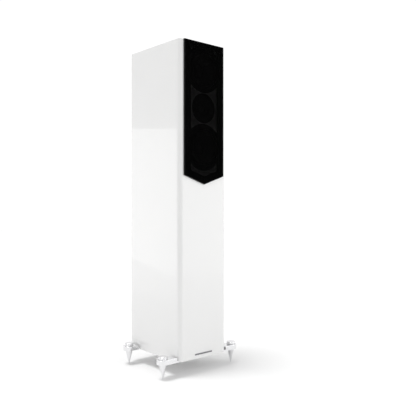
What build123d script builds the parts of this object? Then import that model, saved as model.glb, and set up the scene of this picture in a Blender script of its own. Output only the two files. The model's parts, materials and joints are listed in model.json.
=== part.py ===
"""Slim floorstanding loudspeaker with two woofers, one tweeter and four levelling spikes.

Millimetres, +Z up. The front faces -Y. The origin is on the floor, under the middle of the whole speaker.
Each function makes one named piece, or one group of identical fasteners, and writes it to parts/.
"""
import os
from math import asin, cos, pi, radians, sin, sqrt, tan

from build123d import *

# Cabinet
cabinet_width = 185.0
cabinet_depth = 252.0
cabinet_height = 950.0
side_thickness = 18.0
baffle_thickness = 25.0
rear_thickness = 18.0
top_thickness = 18.0
base_thickness = 22.0
front_edge_radius = 13.0
rear_edge_radius = 3.0
rim_round = 0.8
brace_thickness = 15.0
brace_rim = 26.0
lower_brace_height = 272.0
wadding_thickness = 15.0
wadding_gap = 10.0

# Driver layout, measured down from the cabinet's top
tweeter_drop = 197.0
driver_spacing = 118.0

# Woofer
woofer_radius = 71.0
woofer_flange = 6.0
woofer_land = 11.0
surround_bond = 4.0
surround_seat = 3.6
roll_width = 9.0
roll_height = 2.6
rubber_thickness = 1.0
cone_lip = 2.0
cone_depth = 21.2
cone_thickness = 1.2
coil_radius = 16.3
former_thickness = 0.5
former_length = 28.0
winding_thickness = 0.6
winding_length = 10.0
dust_cap_radius = 18.8
dust_cap_height = 5.0
dust_cap_thickness = 0.8
basket_depth = 45.0
basket_rear_radius = 46.0
basket_floor = 3.0
basket_wall = 3.0
basket_legs = 6
leg_width = 12.0
spider_radius = 43.0
spider_land = 3.0
spider_thickness = 0.8
spider_waves = 5
spider_wave_height = 1.2
magnet_gap = 0.6
top_plate_radius = 42.0
top_plate_thickness = 5.0
magnet_radius = 45.0
magnet_bore = 22.0
magnet_thickness = 16.0
yoke_thickness = 5.0
vent_radius = 5.0

# Tweeter
tweeter_radius = 45.0
tweeter_flange = 4.0
tweeter_hole_radius = 34.5
tweeter_boss = 8.0
horn_radius = 27.0
dome_radius = 12.8
dome_height = 4.6
dome_thickness = 0.5
dome_seat = 5.6
tweeter_roll_width = 3.4
tweeter_roll_height = 1.0
tweeter_bond = 1.6
tweeter_coil_thickness = 0.5
tweeter_coil_length = 5.0
tweeter_gap = 0.5
tweeter_plate_thickness = 3.0
tweeter_magnet_radius = 33.0
tweeter_magnet_bore = 18.0
tweeter_magnet_thickness = 9.0
tweeter_yoke_thickness = 4.0

# Fastener shared by the drivers, the terminal cup and the crossover
screw_head_radius = 3.5
screw_head_height = 2.2
screw_shank_radius = 1.9
screw_shank_length = 15.0
screw_sink = 2.4
woofer_screw_inset = 5.5
woofer_screw_count = 6
tweeter_screw_inset = 5.0
tweeter_screw_count = 4
fit_gap = 0.2

# Grille
grille_margin = 2.0
grille_side_height = 401.0
grille_point_drop = 26.0
grille_frame_thickness = 5.0
grille_cloth_thickness = 0.6
grille_bar = 23.5
grille_top_bar = 18.0
grille_relief_gap = 4.0
magnet_button_radius = 4.0
magnet_button_thickness = 3.0
magnet_button_inset = 11.5
magnet_skin = 1.5
magnet_drop = 20.0

# Nameplate
nameplate_width = 68.0
nameplate_height = 4.5
nameplate_thickness = 0.6
nameplate_level = 13.0

# Feet
spike_height = 45.0
spike_shoulder_radius = 11.3
spike_rim = 2.5
spike_flare = 0.9
spike_tip_radius = 0.8
stud_radius = 4.0
thread_gap = 0.05
shoulder_gap = 0.1
arm_thickness = 14.0
arm_width = 37.0
arm_reveal = 5.0
arm_edge_round = 1.0
tongue_length = 50.0
tongue_thickness = 5.0
front_arm_setback = 5.0
front_reach = 43.5
rear_reach = 28.5
rear_arm_setback = 11.5
bolt_radius = 3.0
bolt_head_radius = 5.6
bolt_length = 17.0
bolt_spacing = 15.0
bolt_inset = 8.0
bolt_offset = 9.0
bolt_margin = 1.5
disc_radius = 13.7
disc_height = 8.5
disc_chamfer = 1.5
disc_relief = 0.9
stud_reach = 7.0

# Terminal cup and binding posts
cup_height = 85.0
cup_flange = 84.0
cup_flange_thickness = 4.0
cup_flange_proud = 2.0
cup_radius = 33.0
cup_depth = 30.0
cup_wall = 2.5
cup_corner_radius = 6.0
cup_screw_offset = 34.0
post_spacing = 19.05
post_radius = 3.0
post_length = 20.0
post_tail = 12.0
post_collar_radius = 6.5
post_collar_height = 3.0
socket_radius = 2.05
socket_depth = 15.0
wire_hole_radius = 1.4
wire_hole_level = 7.0
clamp_radius = 6.2
clamp_thickness = 1.5
cap_radius = 7.0
cap_length = 15.0
cap_chamfer = 1.0
slip = 0.2

# Reflex port
port_height = 325.0
port_radius = 25.0
port_wall = 2.5
port_length = 130.0
port_mouth_radius = 34.0
port_flange_radius = 38.0
port_flange_thickness = 3.0
port_hole_radius = 31.5

# Crossover
board_width = 100.0
board_height = 108.0
board_thickness = 3.0
board_level = 199.0
board_screw_inset = 6.0
lead_radius = 2.0
lead_bend_share = 0.45
lead_straight = 24.0
lead_riser_depth = 46.0

# Places worked out from the sizes above
base_z = spike_height
top_z = base_z + cabinet_height
grille_proud = grille_frame_thickness + grille_cloth_thickness
front_y = -(cabinet_depth + cup_flange_proud - grille_proud) / 2
rear_y = front_y + cabinet_depth
side_x = cabinet_width / 2
inner_x = side_x - side_thickness
inner_front_y = front_y + baffle_thickness
inner_rear_y = rear_y - rear_thickness
tweeter_z = top_z - tweeter_drop
upper_z = tweeter_z + driver_spacing
lower_z = tweeter_z - driver_spacing
woofer_hole_radius = woofer_radius - woofer_land
ledge_radius = woofer_hole_radius - surround_bond
cone_radius = ledge_radius - roll_width
woofer_screw_circle = woofer_radius - woofer_screw_inset
tweeter_screw_circle = tweeter_radius - tweeter_screw_inset
pole_radius = coil_radius - former_thickness - magnet_gap
gap_radius = coil_radius + winding_thickness + magnet_gap
upper_brace_z = tweeter_z + tweeter_hole_radius + brace_thickness / 2
middle_brace_z = lower_z - woofer_radius - 2 * brace_thickness + 1.0
lower_brace_z = base_z + lower_brace_height
grille_half_width = side_x - front_edge_radius - grille_margin
grille_corner_z = top_z - grille_side_height
grille_point_z = grille_corner_z - grille_point_drop
magnet_x = grille_half_width - magnet_button_inset
magnet_heights = (top_z - magnet_drop, tweeter_z, grille_corner_z + grille_point_drop)
arm_end_radius = arm_width / 2
cup_z = base_z + cup_height
cup_floor_y = rear_y + cup_flange_proud - cup_depth
port_z = base_z + port_height
board_z = base_z + board_level

# Feet: name, side (-1 left, +1 right), spike centre y, reach beyond the cabinet's side
front_foot_y = front_y + front_arm_setback + arm_end_radius
rear_foot_y = rear_y - rear_arm_setback - arm_end_radius
feet = (
    ("front_left", -1, front_foot_y, front_reach),
    ("front_right", 1, front_foot_y, front_reach),
    ("rear_left", -1, rear_foot_y, rear_reach),
    ("rear_right", 1, rear_foot_y, rear_reach),
)


def write(name, piece):
    """Label a finished piece and write it as parts/NAME.step."""
    piece.part.label = name
    export_step(piece.part, f"parts/{name}.step")


def facing_back(x, y, z):
    """Plane whose local X is radial and whose local Y runs towards the back."""
    return Plane(origin=(x, y, z), x_dir=(1, 0, 0), z_dir=(0, 0, 1))


def facing_front(x, y, z):
    """Plane whose local X is radial and whose local Y runs towards the front."""
    return Plane(origin=(x, y, z), x_dir=(1, 0, 0), z_dir=(0, 0, -1))


def facing_up(x, y, z):
    """Plane whose local X is radial and whose local Y runs up."""
    return Plane(origin=(x, y, z), x_dir=(1, 0, 0), z_dir=(0, -1, 0))


def front_plane(y, z=0.0):
    """Plane seen from the front: local X right, local Y up, extruded towards the front."""
    return Plane(origin=(0, y, z), x_dir=(1, 0, 0), z_dir=(0, -1, 0))


def turn_polygon(points, plane, mode=Mode.ADD):
    """Revolve a closed outline of (radius, height) points about the plane's local Y."""
    with BuildSketch(plane) as outline:
        with BuildLine():
            Polyline(*points, close=True)
        make_face()
    revolve(outline.sketch, axis=Axis(plane.origin, plane.y_dir), mode=mode)


def block(x0, x1, y0, y1, z0, z1, mode=Mode.ADD):
    """A box between two corners."""
    with BuildSketch(Plane.XY.offset(z0)) as footprint:
        with Locations(((x0 + x1) / 2, (y0 + y1) / 2)):
            Rectangle(x1 - x0, y1 - y0)
    extrude(footprint.sketch, amount=z1 - z0, mode=mode)


def screw_circle(centre_z, radius, count, first_angle):
    """Screw places (x, z) round a driver."""
    angles = [radians(first_angle + 360.0 * index / count) for index in range(count)]
    return [(radius * cos(angle), centre_z + radius * sin(angle)) for angle in angles]


def woofer_screw_places(centre_z):
    return screw_circle(centre_z, woofer_screw_circle, woofer_screw_count, 0.0)


def tweeter_screw_places():
    return screw_circle(tweeter_z, tweeter_screw_circle, tweeter_screw_count, 45.0)


def corner_places(offset_x, offset_z, centre_z):
    """Four places (x, z) at the corners of a rectangle."""
    return [(sx * offset_x, centre_z + sz * offset_z) for sx in (-1, 1) for sz in (-1, 1)]


def cut_tongue_pockets():
    """Clear the four tongue pockets out of the underside of the current panel."""
    for _, side, foot_y, _ in feet:
        x_far = side * (side_x - tongue_length)
        x_near = side * side_x
        y0 = foot_y - arm_end_radius
        y1 = foot_y + arm_end_radius
        low, high = sorted((x_far, x_near))
        block(low, high, y0, y1, base_z, base_z + tongue_thickness, Mode.SUBTRACT)


# ---------------------------------------------------------------- cabinet

def round_rims(panel, on_joint):
    """Ease a panel's edges round the cabinet's top and bottom, except those where on_joint(centre) holds."""
    rims = panel.edges().filter_by_position(Axis.Z, top_z, top_z)
    rims += panel.edges().filter_by_position(Axis.Z, base_z, base_z)
    fillet([rim for rim in rims if not on_joint(rim.center())], rim_round)


def make_front_baffle():
    rebate = woofer_radius + fit_gap
    woofer_cut = (
        (0, -1), (rebate, -1), (rebate, woofer_flange), (woofer_hole_radius, woofer_flange),
        (woofer_hole_radius, baffle_thickness + 1), (0, baffle_thickness + 1),
    )
    tweeter_rebate = tweeter_radius + fit_gap
    tweeter_cut = (
        (0, -1), (tweeter_rebate, -1), (tweeter_rebate, tweeter_flange),
        (tweeter_hole_radius, tweeter_flange),
        (tweeter_hole_radius, baffle_thickness + 1), (0, baffle_thickness + 1),
    )
    pilot_end = screw_sink + screw_shank_length
    pilot = ((0, 0), (screw_shank_radius, 0), (screw_shank_radius, pilot_end), (0, pilot_end))
    with BuildPart() as front_baffle:
        block(-side_x, side_x, front_y, inner_front_y, base_z, top_z)
        front_edges = front_baffle.edges().filter_by(Axis.Z).group_by(Axis.Y)[0]
        fillet(front_edges, front_edge_radius)
        round_rims(front_baffle, lambda centre: abs(centre.Y - inner_front_y) < fit_gap)
        for centre_z in (lower_z, upper_z):
            turn_polygon(woofer_cut, facing_back(0, front_y, centre_z), Mode.SUBTRACT)
            for x, z in woofer_screw_places(centre_z):
                turn_polygon(pilot, facing_back(x, front_y, z), Mode.SUBTRACT)
        turn_polygon(tweeter_cut, facing_back(0, front_y, tweeter_z), Mode.SUBTRACT)
        for x, z in tweeter_screw_places():
            turn_polygon(pilot, facing_back(x, front_y, z), Mode.SUBTRACT)
        for x in (-magnet_x, magnet_x):
            for z in magnet_heights:
                pocket = (
                    (0, magnet_skin), (magnet_button_radius, magnet_skin),
                    (magnet_button_radius, baffle_thickness + 1), (0, baffle_thickness + 1),
                )
                turn_polygon(pocket, facing_back(x, front_y, z), Mode.SUBTRACT)
        cut_tongue_pockets()
    write("front_baffle", front_baffle)


def make_side_panels():
    for name, side in (("left_side_panel", -1), ("right_side_panel", 1)):
        low, high = sorted((side * inner_x, side * side_x))
        with BuildPart() as side_panel:
            block(low, high, inner_front_y, rear_y, base_z, top_z)
            rear_edges = side_panel.edges().filter_by(Axis.Z).group_by(Axis.Y)[-1]
            fillet(rear_edges.sort_by(Axis.X)[-1 if side > 0 else 0], rear_edge_radius)
            round_rims(
                side_panel,
                lambda centre: abs(abs(centre.X) - inner_x) < fit_gap
                or abs(centre.Y - inner_front_y) < fit_gap,
            )
            cut_tongue_pockets()
        write(name, side_panel)


def make_top_panel():
    with BuildPart() as top_panel:
        block(-inner_x, inner_x, inner_front_y, rear_y, top_z - top_thickness, top_z)
        round_rims(top_panel, lambda centre: abs(centre.Y - rear_y) > fit_gap)
    write("top_panel", top_panel)


def make_base_panel():
    with BuildPart() as base_panel:
        block(-inner_x, inner_x, inner_front_y, rear_y, base_z, base_z + base_thickness)
        round_rims(base_panel, lambda centre: abs(centre.Y - rear_y) > fit_gap)
        cut_tongue_pockets()
        for x, y in bolt_places():
            with BuildSketch(Plane.XY.offset(base_z)):
                with Locations((x, y)):
                    Circle(bolt_radius)
            extrude(amount=bolt_length, mode=Mode.SUBTRACT)
    write("base_panel", base_panel)


def make_rear_panel():
    half_rebate = cup_flange / 2 + fit_gap
    rebate_depth = cup_flange_thickness - cup_flange_proud
    port_cut = (
        (0, -1), (port_flange_radius + fit_gap, -1), (port_flange_radius + fit_gap, port_flange_thickness),
        (port_hole_radius, port_flange_thickness), (port_hole_radius, rear_thickness + 1),
        (0, rear_thickness + 1),
    )
    with BuildPart() as rear_panel:
        block(-inner_x, inner_x, inner_rear_y, rear_y, base_z + base_thickness, top_z - top_thickness)
        turn_polygon(port_cut, facing_front(0, rear_y, port_z), Mode.SUBTRACT)
        with BuildSketch(front_plane(rear_y, cup_z)):
            Circle(cup_radius + cup_wall + fit_gap)
        extrude(amount=rear_thickness, mode=Mode.SUBTRACT)
        with BuildSketch(front_plane(rear_y, cup_z)):
            RectangleRounded(2 * half_rebate, 2 * half_rebate, cup_corner_radius)
        extrude(amount=rebate_depth, mode=Mode.SUBTRACT)
        for x, z in corner_places(cup_screw_offset, cup_screw_offset, cup_z):
            with BuildSketch(front_plane(rear_y, 0)):
                with Locations((x, z)):
                    Circle(screw_shank_radius)
            extrude(amount=screw_sink + screw_shank_length - cup_flange_proud, mode=Mode.SUBTRACT)
        for x, z in board_screw_places():
            with BuildSketch(front_plane(inner_rear_y + screw_shank_length, 0)):
                with Locations((x, z)):
                    Circle(screw_shank_radius)
            extrude(amount=screw_shank_length, mode=Mode.SUBTRACT)
    write("rear_panel", rear_panel)


def make_window_braces():
    window_width = 2 * inner_x - 2 * brace_rim
    span = inner_rear_y - inner_front_y
    window_length = (span - 3 * brace_rim) / 2
    window_step = (window_length + brace_rim) / 2
    middle_y = (inner_front_y + inner_rear_y) / 2
    with BuildPart() as window_braces:
        for level in (lower_brace_z, middle_brace_z, upper_brace_z):
            with BuildSketch(Plane.XY.offset(level - brace_thickness / 2)):
                with Locations((0, middle_y)):
                    Rectangle(2 * inner_x, span)
                with Locations((0, middle_y - window_step), (0, middle_y + window_step)):
                    RectangleRounded(window_width, window_length, 8.0, mode=Mode.SUBTRACT)
            extrude(amount=brace_thickness)
    write("window_braces", window_braces)


def make_damping_wadding():
    half_brace = brace_thickness / 2
    chambers = (
        (base_z + base_thickness, lower_brace_z - half_brace),
        (lower_brace_z + half_brace, middle_brace_z - half_brace),
        (middle_brace_z + half_brace, upper_brace_z - half_brace),
        (upper_brace_z + half_brace, top_z - top_thickness),
    )
    y0 = inner_front_y + 5 * wadding_gap
    y1 = inner_rear_y - wadding_gap
    with BuildPart() as damping_wadding:
        for floor_z, ceiling_z in chambers:
            for side in (-1, 1):
                low, high = sorted((side * (inner_x - wadding_thickness), side * inner_x))
                block(low, high, y0, y1, floor_z + wadding_gap, ceiling_z - wadding_gap)
    write("damping_wadding", damping_wadding)


def make_baffle_magnets():
    with BuildPart() as baffle_magnets:
        for x in (-magnet_x, magnet_x):
            for z in magnet_heights:
                with BuildSketch(front_plane(front_y + magnet_skin + magnet_button_thickness)):
                    with Locations((x, z)):
                        Circle(magnet_button_radius)
                extrude(amount=magnet_button_thickness)
    write("baffle_magnets", baffle_magnets)


def make_nameplate():
    with BuildPart() as nameplate:
        with BuildSketch(front_plane(front_y, base_z + nameplate_level)):
            RectangleRounded(nameplate_width, nameplate_height, nameplate_height / 3)
        extrude(amount=nameplate_thickness)
    write("nameplate", nameplate)


# ---------------------------------------------------------------- grille

def grille_outline(half_width, top, corner_z, point_z):
    """Upright outline with a shallow V at the bottom, as points (x, z)."""
    return (
        (-half_width, top), (half_width, top), (half_width, corner_z), (0, point_z), (-half_width, corner_z),
    )


def make_grille_frame():
    inner_half = grille_half_width - grille_bar
    slope = grille_point_drop / grille_half_width
    inner_point_z = grille_point_z + grille_bar
    inner_corner_z = inner_point_z + slope * inner_half
    relief_radius = ledge_radius + grille_relief_gap
    with BuildPart() as grille_frame:
        with BuildSketch(front_plane(front_y)):
            with BuildLine():
                Polyline(
                    *grille_outline(grille_half_width, top_z, grille_corner_z, grille_point_z), close=True
                )
            make_face()
            with BuildLine():
                Polyline(
                    *grille_outline(inner_half, top_z - grille_top_bar, inner_corner_z, inner_point_z), close=True
                )
            make_face(mode=Mode.SUBTRACT)
            with Locations((0, lower_z), (0, upper_z)):
                Circle(relief_radius, mode=Mode.SUBTRACT)
        extrude(amount=grille_frame_thickness)
        for x in (-magnet_x, magnet_x):
            for z in magnet_heights:
                with BuildSketch(front_plane(front_y)):
                    with Locations((x, z)):
                        Circle(magnet_button_radius)
                extrude(amount=magnet_button_thickness, mode=Mode.SUBTRACT)
    write("grille_frame", grille_frame)


def make_grille_cloth():
    with BuildPart() as grille_cloth:
        with BuildSketch(front_plane(front_y - grille_frame_thickness)):
            with BuildLine():
                Polyline(
                    *grille_outline(grille_half_width, top_z, grille_corner_z, grille_point_z), close=True
                )
            make_face()
        extrude(amount=grille_cloth_thickness)
    write("grille_cloth", grille_cloth)


def make_grille_magnets():
    with BuildPart() as grille_magnets:
        for x in (-magnet_x, magnet_x):
            for z in magnet_heights:
                with BuildSketch(front_plane(front_y)):
                    with Locations((x, z)):
                        Circle(magnet_button_radius)
                extrude(amount=magnet_button_thickness)
    write("grille_magnets", grille_magnets)


# ---------------------------------------------------------------- woofers

def make_basket(name, centre_z):
    seat = surround_seat
    bond = woofer_hole_radius + fit_gap
    wall_top = woofer_hole_radius - 1.0
    spider_seat = basket_depth - 10.0
    profile = (
        (woofer_radius, 0), (woofer_radius, woofer_flange), (wall_top, woofer_flange),
        (basket_rear_radius, basket_depth - 7.0), (basket_rear_radius, basket_depth),
        (magnet_bore, basket_depth), (magnet_bore, basket_depth - basket_floor),
        (spider_radius - spider_land, basket_depth - basket_floor),
        (spider_radius - spider_land, spider_seat),
        (spider_radius + fit_gap, spider_seat), (ledge_radius, woofer_flange), (ledge_radius, seat),
        (bond, seat), (bond, 0),
    )
    window_start = woofer_flange + 2.0
    window_end = spider_seat - 2.0
    with BuildPart() as basket:
        turn_polygon(profile, facing_back(0, front_y, centre_z))
        with BuildSketch(front_plane(front_y + window_end, centre_z)):
            Circle(woofer_radius + 5.0)
            Circle(basket_rear_radius - 2 * basket_wall - 8.0, mode=Mode.SUBTRACT)
            with PolarLocations(0, basket_legs):
                Rectangle(2 * woofer_radius + 20.0, leg_width, mode=Mode.SUBTRACT)
        extrude(amount=window_end - window_start, mode=Mode.SUBTRACT)
        for x, z in woofer_screw_places(centre_z):
            sink = (
                (0, -1), (screw_head_radius + fit_gap, -1), (screw_head_radius + fit_gap, screw_sink),
                (screw_shank_radius, screw_sink),
                (screw_shank_radius, woofer_flange + 1), (0, woofer_flange + 1),
            )
            turn_polygon(sink, facing_back(x, front_y, z), Mode.SUBTRACT)
    write(name + "_basket", basket)


def make_woofer_motor(name, centre_z):
    plane = facing_back(0, front_y, centre_z)
    plate_start = basket_depth
    magnet_start = plate_start + top_plate_thickness
    yoke_start = magnet_start + magnet_thickness
    yoke_end = yoke_start + yoke_thickness
    with BuildPart() as top_plate:
        turn_polygon(
            (
                (gap_radius, plate_start), (top_plate_radius, plate_start),
                (top_plate_radius, magnet_start), (gap_radius, magnet_start),
            ),
            plane,
        )
    write(name + "_top_plate", top_plate)
    with BuildPart() as magnet:
        turn_polygon(
            (
                (magnet_bore, magnet_start), (magnet_radius, magnet_start),
                (magnet_radius, yoke_start), (magnet_bore, yoke_start),
            ),
            plane,
        )
    write(name + "_magnet", magnet)
    with BuildPart() as yoke:
        turn_polygon(
            (
                (vent_radius, plate_start), (pole_radius, plate_start), (pole_radius, yoke_start),
                (top_plate_radius, yoke_start), (top_plate_radius, yoke_end), (vent_radius, yoke_end),
            ),
            plane,
        )
    write(name + "_yoke", yoke)


def make_voice_coil(name, centre_z):
    former_start = surround_seat + cone_depth
    former_end = former_start + former_length
    winding_middle = basket_depth + top_plate_thickness / 2
    former_inner = coil_radius - former_thickness
    winding_outer = coil_radius + winding_thickness
    profile = (
        (former_inner, former_start), (coil_radius, former_start),
        (coil_radius, winding_middle - winding_length / 2),
        (winding_outer, winding_middle - winding_length / 2),
        (winding_outer, winding_middle + winding_length / 2),
        (coil_radius, winding_middle + winding_length / 2),
        (coil_radius, former_end), (former_inner, former_end),
    )
    with BuildPart() as voice_coil:
        turn_polygon(profile, facing_back(0, front_y, centre_z))
    write(name + "_voice_coil", voice_coil)


def make_cone(name, centre_z):
    neck_front = surround_seat + cone_depth
    profile = (
        (cone_radius, surround_seat), (cone_radius, surround_seat + cone_thickness),
        (coil_radius, neck_front + cone_thickness), (coil_radius, neck_front),
        (cone_radius - cone_lip, surround_seat),
    )
    with BuildPart() as cone:
        turn_polygon(profile, facing_back(0, front_y, centre_z))
    write(name + "_cone", cone)


def cone_front_depth(radius):
    """Depth of the cone's front face behind the baffle at a radius."""
    run = cone_radius - cone_lip - coil_radius
    return surround_seat + cone_depth * (cone_radius - cone_lip - radius) / run


def add_dome(plane, radius, height, thickness, rim):
    """Spherical shell bulging forwards from a rim at a depth behind the plane's origin."""
    outer_sphere = (radius ** 2 + height ** 2) / (2 * height)
    inner_sphere = outer_sphere - thickness
    centre = rim - height + outer_sphere
    inner_radius = sqrt(inner_sphere ** 2 - (centre - rim) ** 2)
    outer_half = asin(radius / outer_sphere) / 2
    inner_half = asin(inner_radius / inner_sphere) / 2
    with BuildSketch(plane) as section:
        with BuildLine():
            Line((0, centre - outer_sphere), (0, centre - inner_sphere))
            ThreePointArc(
                (0, centre - inner_sphere),
                (inner_sphere * sin(inner_half), centre - inner_sphere * cos(inner_half)),
                (inner_radius, rim),
            )
            Line((inner_radius, rim), (radius, rim))
            ThreePointArc(
                (radius, rim),
                (outer_sphere * sin(outer_half), centre - outer_sphere * cos(outer_half)),
                (0, centre - outer_sphere),
            )
        make_face()
    revolve(section.sketch, axis=Axis(plane.origin, plane.y_dir))


def make_dust_cap(name, centre_z):
    rim = cone_front_depth(dust_cap_radius) - 0.1
    with BuildPart() as dust_cap:
        add_dome(facing_back(0, front_y, centre_z), dust_cap_radius, dust_cap_height, dust_cap_thickness, rim)
    write(name + "_dust_cap", dust_cap)


def make_surround(name, centre_z):
    back = surround_seat
    front = surround_seat - rubber_thickness
    roll_middle = cone_radius + roll_width / 2
    with BuildPart() as surround:
        with BuildSketch(facing_back(0, front_y, centre_z)):
            with BuildLine():
                Line((cone_radius - cone_lip, back), (cone_radius, back))
                ThreePointArc((cone_radius, back), (roll_middle, back - roll_height), (ledge_radius, back))
                Line((ledge_radius, back), (woofer_hole_radius, back))
                Line((woofer_hole_radius, back), (woofer_hole_radius, front))
                Line((woofer_hole_radius, front), (ledge_radius, front))
                ThreePointArc((ledge_radius, front), (roll_middle, front - roll_height), (cone_radius, front))
                Line((cone_radius, front), (cone_radius - cone_lip, front))
                Line((cone_radius - cone_lip, front), (cone_radius - cone_lip, back))
            make_face()
        revolve(axis=Axis((0, front_y, centre_z), (0, 1, 0)))
    write(name + "_surround", surround)


def make_spider(name, centre_z):
    rim_back = basket_depth - 10.0
    inner = coil_radius
    flat_start = spider_radius - spider_land
    step = (flat_start - inner) / (2 * spider_waves)
    middle_back = [(inner + step * index, rim_back - spider_wave_height * (index % 2)) for index in
                   range(2 * spider_waves + 1)]
    back_line = middle_back + [(spider_radius, rim_back)]
    front_line = [(radius, depth - spider_thickness) for radius, depth in reversed(back_line)]
    with BuildPart() as spider:
        turn_polygon(back_line + front_line, facing_back(0, front_y, centre_z))
    write(name + "_spider", spider)


def make_woofer(name, centre_z):
    make_basket(name, centre_z)
    make_woofer_motor(name, centre_z)
    make_voice_coil(name, centre_z)
    make_cone(name, centre_z)
    make_dust_cap(name, centre_z)
    make_surround(name, centre_z)
    make_spider(name, centre_z)


# ---------------------------------------------------------------- tweeter

tweeter_roll_outer = dome_radius + tweeter_roll_width
tweeter_bond_outer = tweeter_roll_outer + tweeter_bond
tweeter_pole_radius = dome_radius - tweeter_coil_thickness - tweeter_gap
tweeter_gap_radius = dome_radius + tweeter_gap


def make_tweeter_faceplate():
    profile = (
        (tweeter_radius, 0), (tweeter_radius, tweeter_flange), (tweeter_hole_radius - 0.5, tweeter_flange),
        (tweeter_hole_radius - 0.5, tweeter_boss), (tweeter_bond_outer + fit_gap, tweeter_boss),
        (tweeter_bond_outer + fit_gap, dome_seat - dome_thickness),
        (tweeter_roll_outer, dome_seat - dome_thickness),
        (tweeter_roll_outer, dome_seat - 2.0), (horn_radius, 0),
    )
    with BuildPart() as tweeter_faceplate:
        turn_polygon(profile, facing_back(0, front_y, tweeter_z))
        for x, z in tweeter_screw_places():
            sink = (
                (0, -1), (screw_head_radius + fit_gap, -1), (screw_head_radius + fit_gap, screw_sink),
                (screw_shank_radius, screw_sink),
                (screw_shank_radius, tweeter_flange + 1), (0, tweeter_flange + 1),
            )
            turn_polygon(sink, facing_back(x, front_y, z), Mode.SUBTRACT)
    write("tweeter_faceplate", tweeter_faceplate)


def make_tweeter_dome():
    with BuildPart() as tweeter_dome:
        add_dome(facing_back(0, front_y, tweeter_z), dome_radius, dome_height, dome_thickness, dome_seat)
    write("tweeter_dome", tweeter_dome)


def make_tweeter_surround():
    back = dome_seat
    front = dome_seat - dome_thickness
    inner = dome_radius + 0.02
    roll_middle = (inner + tweeter_roll_outer) / 2
    with BuildPart() as tweeter_surround:
        with BuildSketch(facing_back(0, front_y, tweeter_z)):
            with BuildLine():
                ThreePointArc(
                    (inner, back), (roll_middle, back - tweeter_roll_height), (tweeter_roll_outer, back)
                )
                Line((tweeter_roll_outer, back), (tweeter_bond_outer, back))
                Line((tweeter_bond_outer, back), (tweeter_bond_outer, front))
                Line((tweeter_bond_outer, front), (tweeter_roll_outer, front))
                ThreePointArc(
                    (tweeter_roll_outer, front), (roll_middle, front - tweeter_roll_height), (inner, front)
                )
                Line((inner, front), (inner, back))
            make_face()
        revolve(axis=Axis((0, front_y, tweeter_z), (0, 1, 0)))
    write("tweeter_surround", tweeter_surround)


def make_tweeter_voice_coil():
    inner = dome_radius - tweeter_coil_thickness
    end = dome_seat + tweeter_coil_length
    with BuildPart() as tweeter_voice_coil:
        turn_polygon(
            ((inner, dome_seat), (dome_radius, dome_seat), (dome_radius, end), (inner, end)),
            facing_back(0, front_y, tweeter_z),
        )
    write("tweeter_voice_coil", tweeter_voice_coil)


def make_tweeter_motor():
    plane = facing_back(0, front_y, tweeter_z)
    plate_start = tweeter_boss
    magnet_start = plate_start + tweeter_plate_thickness
    yoke_start = magnet_start + tweeter_magnet_thickness
    yoke_end = yoke_start + tweeter_yoke_thickness
    with BuildPart() as tweeter_top_plate:
        turn_polygon(
            (
                (tweeter_gap_radius, plate_start), (tweeter_magnet_radius - 1.0, plate_start),
                (tweeter_magnet_radius - 1.0, magnet_start), (tweeter_gap_radius, magnet_start),
            ),
            plane,
        )
    write("tweeter_top_plate", tweeter_top_plate)
    with BuildPart() as tweeter_magnet:
        turn_polygon(
            (
                (tweeter_magnet_bore, magnet_start), (tweeter_magnet_radius, magnet_start),
                (tweeter_magnet_radius, yoke_start), (tweeter_magnet_bore, yoke_start),
            ),
            plane,
        )
    write("tweeter_magnet", tweeter_magnet)
    with BuildPart() as tweeter_yoke:
        turn_polygon(
            (
                (0, plate_start), (tweeter_pole_radius, plate_start), (tweeter_pole_radius, yoke_start),
                (tweeter_magnet_radius - 1.0, yoke_start),
                (tweeter_magnet_radius - 1.0, yoke_end), (0, yoke_end),
            ),
            plane,
        )
    write("tweeter_yoke", tweeter_yoke)


# ---------------------------------------------------------------- screws

def board_screw_places():
    offset_x = board_width / 2 - board_screw_inset
    offset_z = board_height / 2 - board_screw_inset
    return corner_places(offset_x, offset_z, board_z)


def make_panel_screws():
    profile = (
        (0, -screw_head_height), (screw_head_radius, -screw_head_height), (screw_head_radius, 0),
        (screw_shank_radius, 0), (screw_shank_radius, screw_shank_length), (0, screw_shank_length),
    )
    driver_places = woofer_screw_places(lower_z) + woofer_screw_places(upper_z) + tweeter_screw_places()
    with BuildPart() as panel_screws:
        for x, z in driver_places:
            turn_polygon(profile, facing_back(x, front_y + screw_sink, z))
        for x, z in corner_places(cup_screw_offset, cup_screw_offset, cup_z):
            turn_polygon(profile, facing_front(x, rear_y + cup_flange_proud - screw_sink, z))
        for x, z in board_screw_places():
            turn_polygon(profile, facing_back(x, inner_rear_y - board_thickness, z))
    write("panel_screws", panel_screws)


# ---------------------------------------------------------------- rear fittings

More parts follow.
